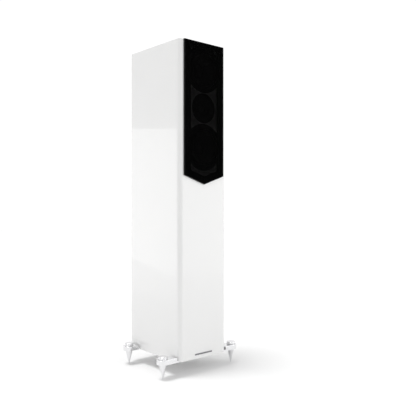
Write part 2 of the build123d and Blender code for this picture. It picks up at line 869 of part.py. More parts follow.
def make_terminal_tray():
    sink_radius = screw_head_radius + fit_gap
    outer = cup_radius + cup_wall
    rear_face = rear_y + cup_flange_proud
    with BuildPart() as terminal_tray:
        with BuildSketch(front_plane(rear_face, cup_z)):
            RectangleRounded(cup_flange, cup_flange, cup_corner_radius)
        extrude(amount=cup_flange_thickness)
        with BuildSketch(front_plane(rear_face, cup_z)):
            Circle(outer)
        extrude(amount=cup_depth + cup_wall)
        with BuildSketch(front_plane(rear_face, cup_z)):
            Circle(cup_radius)
        extrude(amount=cup_depth, mode=Mode.SUBTRACT)
        with BuildSketch(front_plane(rear_face, cup_z)):
            with Locations((-post_spacing / 2, 0), (post_spacing / 2, 0)):
                Circle(post_radius)
        extrude(amount=cup_depth + cup_wall, mode=Mode.SUBTRACT)
        for x, z in corner_places(cup_screw_offset, cup_screw_offset, cup_z):
            sink = (
                (0, -1), (sink_radius, -1), (sink_radius, screw_sink), (screw_shank_radius, screw_sink),
                (screw_shank_radius, cup_flange_thickness + 1), (0, cup_flange_thickness + 1),
            )
            turn_polygon(sink, facing_front(x, rear_face, z), Mode.SUBTRACT)
    write("terminal_tray", terminal_tray)


def make_post_stems():
    with BuildPart() as post_stems:
        for x in (-post_spacing / 2, post_spacing / 2):
            profile = (
                (0, -post_tail), (post_radius, -post_tail), (post_radius, 0), (post_collar_radius, 0),
                (post_collar_radius, post_collar_height), (post_radius, post_collar_height),
                (post_radius, post_length), (socket_radius, post_length),
                (socket_radius, post_length - socket_depth), (0, post_length - socket_depth),
            )
            turn_polygon(profile, facing_back(x, cup_floor_y, cup_z))
            hole_plane = Plane(origin=(x, cup_floor_y + wire_hole_level, cup_z), z_dir=(0, 0, 1))
            with BuildSketch(hole_plane):
                Circle(wire_hole_radius)
            extrude(amount=2 * post_radius, both=True, mode=Mode.SUBTRACT)
    write("post_stems", post_stems)


def make_post_hardware():
    clamp_start = post_collar_height + slip
    cap_start = clamp_start + clamp_thickness + slip
    cap_end = cap_start + cap_length
    bore = post_radius + thread_gap
    clamp_profile = (
        (bore, clamp_start), (clamp_radius, clamp_start),
        (clamp_radius, clamp_start + clamp_thickness), (bore, clamp_start + clamp_thickness),
    )
    cap_profile = (
        (bore, cap_start), (cap_radius - cap_chamfer, cap_start), (cap_radius, cap_start + cap_chamfer),
        (cap_radius, cap_end - cap_chamfer), (cap_radius - cap_chamfer, cap_end), (bore, cap_end),
    )
    for colour, x in (("red", -post_spacing / 2), ("black", post_spacing / 2)):
        plane = facing_back(x, cup_floor_y, cup_z)
        with BuildPart() as post_clamp:
            turn_polygon(clamp_profile, plane)
        write("post_clamp_" + colour, post_clamp)
        with BuildPart() as post_cap:
            turn_polygon(cap_profile, plane)
        write("post_cap_" + colour, post_cap)


def make_reflex_port():
    flare = port_mouth_radius - port_radius
    outer = port_radius + port_wall
    plane = facing_front(0, rear_y, port_z)
    with BuildPart() as reflex_port:
        with BuildSketch(plane):
            with BuildLine():
                ThreePointArc(
                    (port_mouth_radius, 0),
                    (port_mouth_radius - flare * sin(pi / 4), flare - flare * cos(pi / 4)),
                    (port_radius, flare),
                )
                Line((port_radius, flare), (port_radius, port_length))
                Line((port_radius, port_length), (outer, port_length))
                Line((outer, port_length), (outer, flare + port_flange_thickness))
                Line(
                    (outer, flare + port_flange_thickness), (port_hole_radius - fit_gap, port_flange_thickness)
                )
                Line(
                    (port_hole_radius - fit_gap, port_flange_thickness), (port_flange_radius, port_flange_thickness)
                )
                Line((port_flange_radius, port_flange_thickness), (port_flange_radius, 0))
                Line((port_flange_radius, 0), (port_mouth_radius, 0))
            make_face()
        revolve(axis=Axis(plane.origin, plane.y_dir))
    write("reflex_port", reflex_port)


# ---------------------------------------------------------------- crossover and wiring

board_front_y = inner_rear_y - board_thickness


def make_crossover_board():
    with BuildPart() as crossover_board:
        with BuildSketch(front_plane(inner_rear_y, board_z)):
            Rectangle(board_width, board_height)
        extrude(amount=board_thickness)
        for x, z in board_screw_places():
            with BuildSketch(front_plane(inner_rear_y, 0)):
                with Locations((x, z)):
                    Circle(screw_shank_radius)
            extrude(amount=board_thickness, mode=Mode.SUBTRACT)
    write("crossover_board", crossover_board)


def make_inductors():
    coils = ((-22.0, 26.0, 20.0, 9.0, 20.0), (24.0, 25.0, 15.0, 7.0, 16.0), (24.0, -5.0, 13.0, 6.0, 14.0))
    with BuildPart() as inductors:
        for x, lift, outer, inner, length in coils:
            profile = ((inner, 0), (outer, 0), (outer, length), (inner, length))
            turn_polygon(profile, facing_front(x, board_front_y, board_z + lift))
    write("inductors", inductors)


def make_capacitors():
    cans = ((-22.0, -8.0, 9.0, 36.0), (-22.0, -32.0, 11.0, 40.0), (24.0, -34.0, 8.0, 32.0))
    with BuildPart() as capacitors:
        for x, lift, radius, length in cans:
            start = Plane(
                origin=(x - length / 2, board_front_y - radius - slip, board_z + lift), x_dir=(0, 1, 0), z_dir=(1, 0, 0)
            )
            with BuildSketch(start):
                Circle(radius)
            extrude(amount=length)
    write("capacitors", capacitors)


def bend_radii(points):
    """One radius for each corner of a route: a share of the shorter run over the half turn's tangent."""
    radii = []
    for before, corner, after in zip(points, points[1:], points[2:]):
        arriving = Vector(*corner) - Vector(*before)
        leaving = Vector(*after) - Vector(*corner)
        shorter = min(arriving.length, leaving.length)
        half_turn = radians(arriving.get_angle(leaving)) / 2
        radii.append(lead_bend_share * shorter / tan(half_turn))
    return radii


def lead_routes():
    """Routes of the internal two-core leads, from the crossover to each driver and from the posts."""
    riser_x = port_radius + port_wall + 3 * lead_radius + slip
    riser_y = inner_rear_y - lead_riser_depth
    lead_step = 3 * lead_radius
    start_y = board_front_y - slip
    start_z = board_z + board_height / 2 - 7.0
    basket_x = basket_rear_radius + lead_radius + 1.0
    yoke_y = front_y + tweeter_boss + tweeter_plate_thickness + tweeter_magnet_thickness + tweeter_yoke_thickness
    routes = []
    for lane, centre_z in ((0, lower_z), (1, upper_z)):
        start_x = riser_x - lane * lead_step
        lane_y = riser_y - lane * lead_step
        routes.append((
            (start_x, start_y, start_z),
            (start_x, start_y - lead_straight, start_z),
            (riser_x, lane_y, port_z),
            (riser_x, lane_y - 4.0, centre_z - 90.0),
            (basket_x + 3.0, front_y + 120.0, centre_z - 30.0),
            (basket_x, front_y + basket_depth - 4.0, centre_z),
        ))
    start_x = riser_x - 2 * lead_step
    lane_y = riser_y - 2 * lead_step
    routes.append((
        (start_x, start_y, start_z),
        (start_x, start_y - lead_straight, start_z),
        (riser_x, lane_y, port_z),
        (riser_x, lane_y - 4.0, tweeter_z - 110.0),
        (14.0, yoke_y + 50.0, tweeter_z - 6.0),
        (10.0, yoke_y + 20.0, tweeter_z),
        (10.0, yoke_y + slip, tweeter_z),
    ))
    for side in (-1, 1):
        tail_x = side * post_spacing / 2
        tail_y = cup_floor_y - post_tail - slip
        board_foot_z = board_z - board_height / 2 + 5.0
        routes.append((
            (tail_x, tail_y, cup_z),
            (tail_x, tail_y - 16.0, cup_z),
            (tail_x + side * 4.0, start_y - 22.0, board_foot_z),
            (tail_x + side * 4.0, start_y, board_foot_z),
        ))
    return routes


def make_internal_leads():
    with BuildPart() as internal_leads:
        for points in lead_routes():
            radii = bend_radii(points)
            print("lead bend radii", [round(radius, 1) for radius in radii])
            with BuildLine() as route:
                FilletPolyline(*points, radius=radii)
            with BuildSketch(Plane(origin=route.line @ 0, z_dir=route.line % 0)):
                Circle(lead_radius)
            sweep(path=route.line)
    write("internal_leads", internal_leads)


# ---------------------------------------------------------------- feet

def bolt_places():
    """Two bolts (x, y) through each tongue, on its half nearer the cabinet's middle and clear of the baffle."""
    clear_of_baffle = inner_front_y + bolt_radius + bolt_margin - front_foot_y
    front_offset = max(bolt_offset, clear_of_baffle)
    places = []
    for _, side, foot_y, _ in feet:
        offset = front_offset if foot_y == front_foot_y else -bolt_offset
        for step in (0, 1):
            x = side * (side_x - tongue_length + bolt_inset + step * bolt_spacing)
            places.append((x, foot_y + offset))
    return places


def make_outriggers():
    bolt_sink = bolt_head_radius - bolt_radius
    with BuildPart() as outriggers:
        for _, side, foot_y, reach in feet:
            tip_x = side * (side_x + reach)
            root_x = side * (side_x + arm_reveal)
            low, high = sorted((tip_x, root_x))
            with BuildSketch(Plane.XY.offset(base_z)):
                with Locations(((low + high) / 2, foot_y)):
                    Rectangle(high - low, arm_width)
                with Locations((tip_x, foot_y)):
                    Circle(arm_end_radius)
            extrude(amount=arm_thickness)
        top_edges = outriggers.edges().filter_by(Plane.XY).group_by(Axis.Z)[-1]
        fillet(top_edges, arm_edge_round)
        for _, side, foot_y, _ in feet:
            low, high = sorted((side * (side_x - tongue_length), side * (side_x + arm_reveal)))
            y0 = foot_y - arm_end_radius
            y1 = foot_y + arm_end_radius
            block(low, high, y0, y1, base_z, base_z + tongue_thickness)
        for _, side, foot_y, reach in feet:
            with BuildSketch(Plane.XY.offset(base_z)):
                with Locations((side * (side_x + reach), foot_y)):
                    Circle(stud_radius + thread_gap)
            extrude(amount=arm_thickness, mode=Mode.SUBTRACT)
        for x, y in bolt_places():
            sink = (
                (0, 0), (bolt_head_radius, 0), (bolt_radius, bolt_sink),
                (bolt_radius, tongue_thickness), (0, tongue_thickness),
            )
            turn_polygon(sink, facing_up(x, y, base_z), Mode.SUBTRACT)
    write("outriggers", outriggers)


def make_outrigger_bolts():
    bolt_sink = bolt_head_radius - bolt_radius
    socket = 2.0
    profile = (
        (0, socket), (socket, socket), (socket, 0), (bolt_head_radius, 0), (bolt_radius, bolt_sink),
        (bolt_radius, bolt_length), (0, bolt_length),
    )
    with BuildPart() as outrigger_bolts:
        for x, y in bolt_places():
            turn_polygon(profile, facing_up(x, y, base_z))
    write("outrigger_bolts", outrigger_bolts)


def make_spike(name, x, y):
    shoulder = -shoulder_gap
    stud_top = arm_thickness + stud_reach
    rim = spike_shoulder_radius - 0.3
    start = (rim, shoulder - spike_rim)
    end = (spike_tip_radius, -spike_height + spike_tip_radius / 2)
    middle = ((start[0] + end[0]) / 2 - spike_flare, (start[1] + end[1]) / 2)
    plane = facing_up(x, y, base_z)
    with BuildPart() as spike:
        with BuildSketch(plane):
            with BuildLine():
                Polyline(
                    (0, stud_top), (stud_radius, stud_top), (stud_radius, shoulder),
                    (spike_shoulder_radius, shoulder),
                    (spike_shoulder_radius, shoulder - spike_rim + 0.3), start,
                )
                ThreePointArc(start, middle, end)
                Polyline(end, (0, -spike_height), (0, stud_top))
            make_face()
        revolve(axis=Axis(plane.origin, plane.y_dir))
    write("spike_" + name, spike)


def make_lock_disc(name, x, y):
    bore = stud_radius + thread_gap
    blind = stud_reach + 0.5
    profile = (
        (bore, 0), (disc_radius - disc_relief, 0), (disc_radius - disc_relief, disc_relief),
        (disc_radius, disc_relief), (disc_radius, disc_height - disc_chamfer),
        (disc_radius - disc_chamfer, disc_height), (0, disc_height), (0, blind), (bore, blind),
    )
    with BuildPart() as lock_disc:
        turn_polygon(profile, facing_up(x, y, base_z + arm_thickness + shoulder_gap))
    write("lock_disc_" + name, lock_disc)


def make_feet():
    make_outriggers()
    make_outrigger_bolts()
    for name, side, foot_y, reach in feet:
        make_spike(name, side * (side_x + reach), foot_y)
        make_lock_disc(name, side * (side_x + reach), foot_y)


os.makedirs("parts", exist_ok=True)
make_front_baffle()
make_side_panels()
make_top_panel()
make_base_panel()
make_rear_panel()
make_window_braces()
make_damping_wadding()
make_baffle_magnets()
make_nameplate()
make_grille_frame()
make_grille_cloth()
make_grille_magnets()
make_woofer("upper_woofer", upper_z)
make_woofer("lower_woofer", lower_z)
make_tweeter_faceplate()
make_tweeter_dome()
make_tweeter_surround()
make_tweeter_voice_coil()
make_tweeter_motor()
make_panel_screws()
make_terminal_tray()
make_post_stems()
make_post_hardware()
make_reflex_port()
make_crossover_board()
make_inductors()
make_capacitors()
make_internal_leads()
make_feet()
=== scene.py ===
# %% [markdown]
# # A white floorstanding speaker
# This lesson dresses a slim loudspeaker: a gloss white cabinet, a black cloth grille that ends in
# a shallow V, and polished feet on spikes. The engineering model is loaded first and never
# changed. Every new piece is placed by measuring that model, so it always lies where its node
# does.

# %% Load the frame
import json

import bmesh
import bpy
import numpy as np
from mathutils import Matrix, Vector


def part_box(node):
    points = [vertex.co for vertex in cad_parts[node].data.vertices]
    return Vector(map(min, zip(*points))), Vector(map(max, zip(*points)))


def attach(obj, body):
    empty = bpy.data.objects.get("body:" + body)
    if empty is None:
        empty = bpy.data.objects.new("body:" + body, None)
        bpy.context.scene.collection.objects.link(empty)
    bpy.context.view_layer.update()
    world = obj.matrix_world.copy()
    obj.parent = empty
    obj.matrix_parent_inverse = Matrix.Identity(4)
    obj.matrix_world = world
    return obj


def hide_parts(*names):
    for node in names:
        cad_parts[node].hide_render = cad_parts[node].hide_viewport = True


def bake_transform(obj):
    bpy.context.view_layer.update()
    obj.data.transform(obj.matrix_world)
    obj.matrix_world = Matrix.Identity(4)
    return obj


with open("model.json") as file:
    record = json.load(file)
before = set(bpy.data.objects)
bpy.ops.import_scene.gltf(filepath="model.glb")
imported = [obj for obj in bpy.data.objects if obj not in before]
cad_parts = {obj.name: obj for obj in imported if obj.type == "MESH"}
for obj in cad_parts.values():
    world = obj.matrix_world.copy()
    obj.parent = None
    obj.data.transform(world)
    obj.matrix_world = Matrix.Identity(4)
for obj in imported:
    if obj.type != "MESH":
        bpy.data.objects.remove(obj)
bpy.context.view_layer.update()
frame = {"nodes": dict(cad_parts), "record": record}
scene = bpy.context.scene
MM = 0.001

# %% [markdown]
# ## Measuring the model
# A node's box gives its lowest and highest corners in metres. The cabinet's front and rear faces,
# its underside and its top are read from such boxes here, and every later piece starts from its
# own box.


# %% Places taken from the frame
def measured(node):
    """Lowest corner, highest corner and centre of a node's box; the centre is the corners' mean."""
    low, high = (np.array(corner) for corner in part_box(node))
    return low, high, (low + high) / 2


baffle_low, baffle_high, _ = measured("front_baffle")
front_y, rear_y = baffle_low[1], measured("rear_panel")[1][1]
base_z, top_z = baffle_low[2], baffle_high[2]
print("cabinet in mm", (baffle_high - baffle_low) / MM, "deep", (rear_y - front_y) / MM)

# %% [markdown]
# ## The camera
# The eye stands low, level with the middle of the cabinet, and looks along the floor so that
# upright edges stay upright. The lens is slightly long. A small shift moves the speaker in the
# picture without tilting the camera.

# %% Camera
EYE = Vector((-1.1134, -1.4031, 0.5126))
YAW = np.radians(41.5)
FOCAL_LENGTH = 48.46
FRAME_SHIFT = -0.01276
camera = bpy.data.objects.new("camera", bpy.data.cameras.new("camera"))
scene.collection.objects.link(camera)
camera.location = EYE
camera.rotation_euler = (np.radians(90), 0, -YAW)
camera.data.lens = FOCAL_LENGTH
camera.data.shift_y = FRAME_SHIFT
scene.camera = camera
scene.view_settings.view_transform = "Standard"
print("eye in mm", [round(part / MM) for part in EYE])

# %% [markdown]
# ## The sky
# The studio is a white room, so the sky is even and white. It does three jobs, and each needs its
# own strength: it lights the speaker, it is mirrored in the gloss, and the camera sees it as the
# backdrop. The kind of ray that meets the sky picks the strength.

# %% Sky
SKY_LIGHT = 0.68
MIRRORED_SKY = 1.0
SEEN_SKY = 1.05
WHITE = (1, 1, 1, 1)
world = bpy.data.worlds.new("sky")
scene.world = world
world.use_nodes = True
world_nodes = world.node_tree.nodes
backdrop = world_nodes["Background"]
backdrop.inputs["Color"].default_value = WHITE
seen_sky = world_nodes.new("ShaderNodeBackground")
seen_sky.inputs["Color"].default_value = WHITE
seen_sky.inputs["Strength"].default_value = SEEN_SKY
sky_choice = world_nodes.new("ShaderNodeMixShader")
ray_kind = world_nodes.new("ShaderNodeLightPath")
sky_strength = world_nodes.new("ShaderNodeMapRange")
sky_strength.inputs["To Min"].default_value = SKY_LIGHT
sky_strength.inputs["To Max"].default_value = MIRRORED_SKY
for source, target in (
        (ray_kind.outputs["Is Glossy Ray"], sky_strength.inputs["Value"]),
        (sky_strength.outputs[0], backdrop.inputs["Strength"]),
        (ray_kind.outputs["Is Camera Ray"], sky_choice.inputs[0]),
        (backdrop.outputs[0], sky_choice.inputs[1]),
        (seen_sky.outputs[0], sky_choice.inputs[2]),
        (sky_choice.outputs[0], world_nodes["World Output"].inputs[0])):
    world.node_tree.links.new(source, target)
print("sky strengths", SKY_LIGHT, MIRRORED_SKY, SEEN_SKY)

# %% [markdown]
# ## Meshes from arrays
# Each new surface is a grid of points worked out as one array, with quads that join neighbours.
# One helper numbers the quads and another puts the arrays into a mesh. The floor is the simplest
# grid of all, two points by two.


# %% Mesh helpers and floor
MERGE_DISTANCE = 1e-6


def put_mesh(name, points, faces, uv=None, sharp_angle=35):
    """Makes an object from an array of points and an array of quads, with its place in its mesh.

    Points that coincide, as at a pole, are merged, and faces are turned to point outwards. Edges
    that turn by more than sharp_angle degrees stay crisp, and all others are shaded smooth.
    """
    mesh = bpy.data.meshes.new(name)
    mesh.vertices.add(len(points))
    mesh.vertices.foreach_set("co", np.asarray(points, np.float32).ravel())
    mesh.loops.add(faces.size)
    mesh.loops.foreach_set("vertex_index", faces.astype(np.int32).ravel())
    mesh.polygons.add(len(faces))
    loop_starts = np.arange(0, faces.size, faces.shape[1], dtype=np.int32)
    mesh.polygons.foreach_set("loop_start", loop_starts)
    mesh.update(calc_edges=True)
    if uv is not None:
        layer = mesh.uv_layers.new(name="UVMap")
        layer.data.foreach_set("uv", np.asarray(uv, np.float32)[faces.ravel()].ravel())
    shape = bmesh.new()
    shape.from_mesh(mesh)
    bmesh.ops.remove_doubles(shape, verts=shape.verts, dist=MERGE_DISTANCE)
    bmesh.ops.recalc_face_normals(shape, faces=shape.faces)
    shape.to_mesh(mesh)
    shape.free()
    mesh.polygons.foreach_set("use_smooth", np.ones(len(mesh.polygons), bool))
    mesh.set_sharp_from_angle(angle=np.radians(sharp_angle))
    made = bpy.data.objects.new(name, mesh)
    scene.collection.objects.link(made)
    return made


def grid_faces(rows, columns, close_rows=False, close_columns=False):
    """Quads that join a rows by columns grid of points numbered along its rows.

    Each quad joins a point to the next one in its row and to the pair in the next row. A closed
    direction also joins its last line back to its first.
    """
    row = np.arange(rows if close_rows else rows - 1)[:, None]
    column = np.arange(columns if close_columns else columns - 1)[None, :]
    next_row = (row + 1) % rows
    next_column = (column + 1) % columns
    corners = (row * columns + column, row * columns + next_column,
               next_row * columns + next_column, next_row * columns + column)
    return np.stack([corner.ravel() for corner in np.broadcast_arrays(*corners)], axis=1)


FLOOR_HALF = 9.0
ends = np.array([-FLOOR_HALF, FLOOR_HALF])
floor_x, floor_y = np.meshgrid(ends, ends)
floor_points = np.stack([floor_x.ravel(), floor_y.ravel(), np.zeros(4)], axis=1)
floor = put_mesh("floor", floor_points, grid_faces(2, 2))
print("floor half width in m", FLOOR_HALF)

# %% [markdown]
# ## The sun and two cards
# One broad sun stands nearly overhead, a little to the left, and lays a faint soft shadow on the
# right. White gloss shows its shape only by what it mirrors, so two glowing cards stand outside
# the picture, one mirrored in the cabinet's side and one in its front. They are hidden from the
# camera, and they stand on the floor, so their reflections end low down.


# %% Sun and cards
def soft_sun(name, way, spread, strength):
    """A sun whose light comes from a direction; its spread in degrees softens the shadows."""
    lamp = bpy.data.lights.new(name, "SUN")
    lamp.angle = np.radians(spread)
    lamp.energy = strength
    holder = bpy.data.objects.new(name, lamp)
    holder.rotation_euler = Vector(way).to_track_quat("Z", "Y").to_euler()
    scene.collection.objects.link(holder)


def glow(name, strength):
    """A plain white emitting material."""
    material = bpy.data.materials.new(name)
    material.use_nodes = True
    surface = material.node_tree.nodes["Principled BSDF"]
    surface.inputs["Base Color"].default_value = (0, 0, 0, 1)
    surface.inputs["Emission Color"].default_value = WHITE
    surface.inputs["Emission Strength"].default_value = strength
    return material


def standing_card(name, start, end, start_height, end_height, strength):
    """An upright glowing card from one (x, y) place on the floor to another, only seen mirrored."""
    corners = np.array([(*start, 0.0), (*end, 0.0), (*start, start_height), (*end, end_height)])
    card = put_mesh(name, corners, grid_faces(2, 2))
    card.data.materials.append(glow(name, strength))
    card.visible_camera = False
    card.visible_shadow = False


soft_sun("key_light", way=(-0.20, 0.10, 1.0), spread=22, strength=1.45)
standing_card("side_card", start=(-1.18, 0.95), end=(-2.54, 4.32), start_height=0.93,
              end_height=1.38, strength=1.95)
standing_card("front_card", start=(1.05, -2.58), end=(2.2, -1.12), start_height=3.0,
              end_height=3.0, strength=1.75)


# %% [markdown]
# ## Writing materials as sums
# Shader nodes are wired by hand in most lessons, which hides the idea in the wiring. Here a wire
# is a Python value: adding or multiplying two wires adds a Math node. One method makes every
# other node, from its type, its settings and what goes into its sockets.

# %% Wires and finishes
class Wire:
    """An output socket that can be used in arithmetic; each operation adds one Math node."""

    def __init__(self, finish, socket):
        self.finish = finish
        self.socket = socket

    def math(self, operation, *values):
        settings = {"operation": operation}
        return self.finish.node("ShaderNodeMath", settings, dict(enumerate(values)))

    def __add__(self, other):
        return self.math("ADD", self, other)

    def __mul__(self, other):
        return self.math("MULTIPLY", self, other)

    def __sub__(self, other):
        return self.math("SUBTRACT", self, other)

    def __rsub__(self, other):
        return self.math("SUBTRACT", other, self)

    def __gt__(self, other):
        return self.math("GREATER_THAN", self, other)

    def sine(self):
        return self.math("SINE", self)

    def size(self):
        return self.math("ABSOLUTE", self)

    def root(self):
        return self.math("SQRT", self)

    __radd__ = __add__
    __rmul__ = __mul__


class Finish:
    """One material, built round a Principled surface whose even values are set on its sockets."""

    def __init__(self, name, color, **even):
        self.material = bpy.data.materials.new(name)
        self.material.use_nodes = True
        self.tree = self.material.node_tree
        self.surface = self.tree.nodes["Principled BSDF"]
        self.surface.inputs["Base Color"].default_value = (*color, 1.0)
        for socket, value in even.items():
            self.surface.inputs[socket.replace("_", " ")].default_value = value

    def node(self, kind, settings, sockets, output=0):
        """Adds a node: its settings first, then a value or a wire for each named socket."""
        made = self.tree.nodes.new(kind)
        for key, value in settings.items():
            setattr(made, key, value)
        for key, value in sockets.items():
            if isinstance(value, Wire):
                self.tree.links.new(value.socket, made.inputs[key])
            else:
                made.inputs[key].default_value = value
        return Wire(self, made.outputs[output])

    def place(self, kind="Object"):
        """The point being shaded, in metres on the object, or its UV."""
        return self.node("ShaderNodeTexCoord", {}, {}, kind)

    def along(self, wire):
        """Splits a vector wire into its three parts."""
        split = self.node("ShaderNodeSeparateXYZ", {}, {"Vector": wire}).socket.node
        return [Wire(self, split.outputs[index]) for index in range(3)]

    def noise(self, size, detail=2.0, where=None, roughness=0.5):
        """Even random blotches of about the given size in metres, from 0 to 1."""
        sockets = {"Vector": where or self.place(), "Scale": 1.0 / size, "Detail": detail,
                   "Roughness": roughness}
        return self.node("ShaderNodeTexNoise", {}, sockets, "Fac")

    def ramp(self, wire, low, high, out_low=0.0, out_high=1.0):
        """Maps a wire from low..high to out_low..out_high and holds it there."""
        sockets = {"Value": wire, "From Min": low, "From Max": high, "To Min": out_low,
                   "To Max": out_high}
        return self.node("ShaderNodeMapRange", {}, sockets)

    def paint(self, socket, wire):
        """Feeds one varying socket of the surface."""
        self.tree.links.new(wire.socket, self.surface.inputs[socket])

    def tint(self, factor, first, second):
        """Paints the base with a colour between two, by a factor from 0 to 1."""
        sockets = {0: factor, 6: (*first, 1.0), 7: (*second, 1.0)}
        self.paint("Base Color", self.node("ShaderNodeMix", {"data_type": "RGBA"}, sockets, 2))

    def gloss(self, factor, low, high, out_low, out_high):
        """Paints the roughness from out_low to out_high as a factor goes from low to high."""
        self.paint("Roughness", self.ramp(factor, low, high, out_low, out_high))

    def bump(self, height, depth):
        """Raises the surface by height times depth in metres."""
        sockets = {"Height": height, "Distance": depth, "Strength": 1.0}
        relief = self.node("ShaderNodeBump", {}, sockets)
        self.tree.links.new(relief.socket, self.surface.inputs["Normal"])


print("wire operations", [name for name in vars(Wire) if not name.startswith("__")])


# %% [markdown]
# ## Lacquer and boards
# Gloss white lacquer is a nearly white, slightly soft base under a clear coat. Spraying leaves a
# very faint orange-peel waviness a few millimetres across, and polishing leaves tiny differences
# in gloss. Inside, the braces are raw fibreboard, and the crossover sits on brown hardboard.


# %% Lacquer and boards
def white_lacquer():
    """Nearly even white; the orange peel is noise 5 mm across and 0.0015 mm deep."""
    finish = Finish("white_lacquer", (0.80, 0.80, 0.795), Roughness=0.3, Coat_Weight=1.0,
                    Coat_Roughness=0.02, Coat_IOR=1.5)
    finish.tint(finish.noise(120 * MM, 1.0), (0.792, 0.792, 0.787), (0.806, 0.806, 0.802))
    finish.gloss(finish.noise(120 * MM, 0.0), 0.3, 0.7, 0.28, 0.32)
    finish.bump(finish.noise(5 * MM, 0.0), 0.0015 * MM)
    return finish


def raw_board():
    """Pressed fibres: rough fine noise gives both the colour and the height."""
    finish = Finish("raw_board", (0.5, 0.38, 0.25), Roughness=0.85)
    fibre = finish.noise(1.2 * MM, 6.0, roughness=0.7)
    finish.tint(fibre, (0.36, 0.26, 0.16), (0.60, 0.46, 0.31))
    finish.bump(fibre, 0.08 * MM)
    return finish


def hardboard():
    """Darker and smoother than the raw board."""
    finish = Finish("hardboard", (0.2, 0.13, 0.07), Roughness=0.6)
    finish.tint(finish.noise(2 * MM, 5.0), (0.13, 0.08, 0.04), (0.26, 0.17, 0.09))
    finish.bump(finish.noise(0.8 * MM, 3.0), 0.04 * MM)
    return finish


boards = {"white_lacquer": white_lacquer(), "raw_board": raw_board(), "hardboard": hardboard()}
print("boards", list(boards))

# %% [markdown]
# ## Plastics, rubber and cast metal
# Moulded black parts get a fine spark-eroded texture and a little unevenness in gloss. Rubber is
# duller and slightly dusty in places. The woofer chassis is cast and powder coated, so its
# texture is coarser.


# %% Moulded, coated and rubber finishes
def moulded(name, color, roughness, grain=0.4 * MM, depth=0.02 * MM, **even):
    """A mould's fine grain of a given size and depth, and 15 percent of unevenness in the gloss."""
    finish = Finish(name, color, Roughness=roughness, **even)
    finish.gloss(finish.noise(10 * MM, 4.0), 0.3, 0.7, roughness * 0.85, roughness * 1.15)
    lighter = tuple(min(1.0, part * 1.25 + 0.004) for part in color)
    finish.tint(finish.noise(20 * MM, 3.0), color, lighter)
    finish.bump(finish.noise(grain), depth)
    return finish


def surround_rubber():
    """Black rubber with dust where a fine noise is high, which is both lighter and duller."""
    finish = Finish("surround_rubber", (0.012, 0.012, 0.012), Roughness=0.55,
                    Specular_IOR_Level=0.35)
    dust = finish.ramp(finish.noise(4 * MM, 6.0), 0.5, 0.8)
    finish.tint(dust, (0.010, 0.010, 0.011), (0.028, 0.028, 0.028))
    finish.gloss(dust, 0.0, 1.0, 0.48, 0.7)
    finish.bump(finish.noise(0.6 * MM), 0.012 * MM)
    return finish


BLACK = (0.012, 0.012, 0.012)
polished_mould = {"roughness": 0.22, "grain": 2 * MM, "depth": 0.005 * MM, "Coat_Weight": 0.5}
mouldings = {
    "port_plastic": moulded("port_plastic", (0.018, 0.018, 0.018), 0.5),
    "grille_plastic": moulded("grille_plastic", BLACK, 0.6),
    "tray_plastic": moulded("tray_plastic", (0.016, 0.016, 0.016), 0.45, 0.6 * MM, 0.03 * MM),
    "cast_basket": moulded("cast_basket", (0.016, 0.016, 0.017), 0.5, 0.9 * MM, 0.05 * MM),
    "ferrite": moulded("ferrite", (0.05, 0.05, 0.052), 0.65, 0.8 * MM, 0.05 * MM),
    "lead_jacket": moulded("lead_jacket", (0.36, 0.36, 0.34), 0.5, 2 * MM, 0.03 * MM),
    "red_cap": moulded("red_cap", (0.42, 0.010, 0.008), **polished_mould),
    "black_cap": moulded("black_cap", BLACK, **polished_mould),
    "capacitor_film": moulded("capacitor_film", (0.55, 0.22, 0.02), 0.3, 4 * MM, 0.04 * MM),
    "surround_rubber": surround_rubber(),
}
print("mouldings", len(mouldings))

# %% [markdown]
# ## Turned and polished metal
# A lathe leaves fine rings round the axis of a part. They are drawn as a sine of the distance
# from that axis, broken up by noise. Polished pieces keep only a trace of tooling and faint
# wiping marks, and plated or brushed ones have a fine grain that runs one way.


# %% Metal finishes
def metal(name, color, roughness, grain=None):
    """Metal with wiping marks in its gloss, and grain of a given size drawn out along X.

    Making X count for only 0.04 of itself draws the noise out 25 times along it.
    """
    finish = Finish(name, color, Metallic=1.0, Roughness=roughness)
    finish.gloss(finish.noise(6 * MM, 5.0), 0.3, 0.75, roughness * 0.75, roughness * 1.35)
    if grain is None:
        finish.bump(finish.noise(2 * MM), 0.0015 * MM)
        return finish
    x, y, z = finish.along(finish.place())
    stretched = finish.node("ShaderNodeCombineXYZ", {}, {0: x * 0.04, 1: y, 2: z})
    finish.bump(finish.noise(grain, 3.0, stretched), 0.006 * MM)
    return finish


def turned_faceplate(node="tweeter_faceplate", roughness=0.38, pitch=0.4 * MM):
    """Dark metal with rings: the sine of 2 pi r / pitch, where r is the distance from the axis."""
    finish = Finish("faceplate_metal", (0.016, 0.016, 0.017), Metallic=0.4, Roughness=roughness)
    centre = measured(node)[2]
    x, _, z = finish.along(finish.place())
    right, up = x - float(centre[0]), z - float(centre[2])
    reach = (right * right + up * up).root()
    rings = (reach * (2 * np.pi / pitch) + finish.noise(4 * MM) * 4.0).sine()
    finish.gloss(finish.noise(5 * MM, 4.0), 0.3, 0.7, roughness * 0.85, roughness * 1.2)
    finish.bump(rings, 0.0015 * MM)
    return finish


metals = {
    "magnet_nickel": metal("magnet_nickel", (0.62, 0.61, 0.58), 0.18),
    "plated_steel": metal("plated_steel", (0.56, 0.56, 0.53), 0.35, 0.6 * MM),
    "gold_brass": metal("gold_brass", (0.86, 0.62, 0.24), 0.16),
    "black_steel": metal("black_steel", (0.030, 0.030, 0.032), 0.35),
    "nameplate_metal": metal("nameplate_metal", (0.22, 0.22, 0.23), 0.3, 0.3 * MM),
    "polished_alloy": metal("polished_alloy", (0.79, 0.79, 0.80), 0.12),
    "chrome_steel": metal("chrome_steel", (0.78, 0.78, 0.79), 0.08),
    "faceplate_metal": turned_faceplate(),
}
print("metals", len(metals))

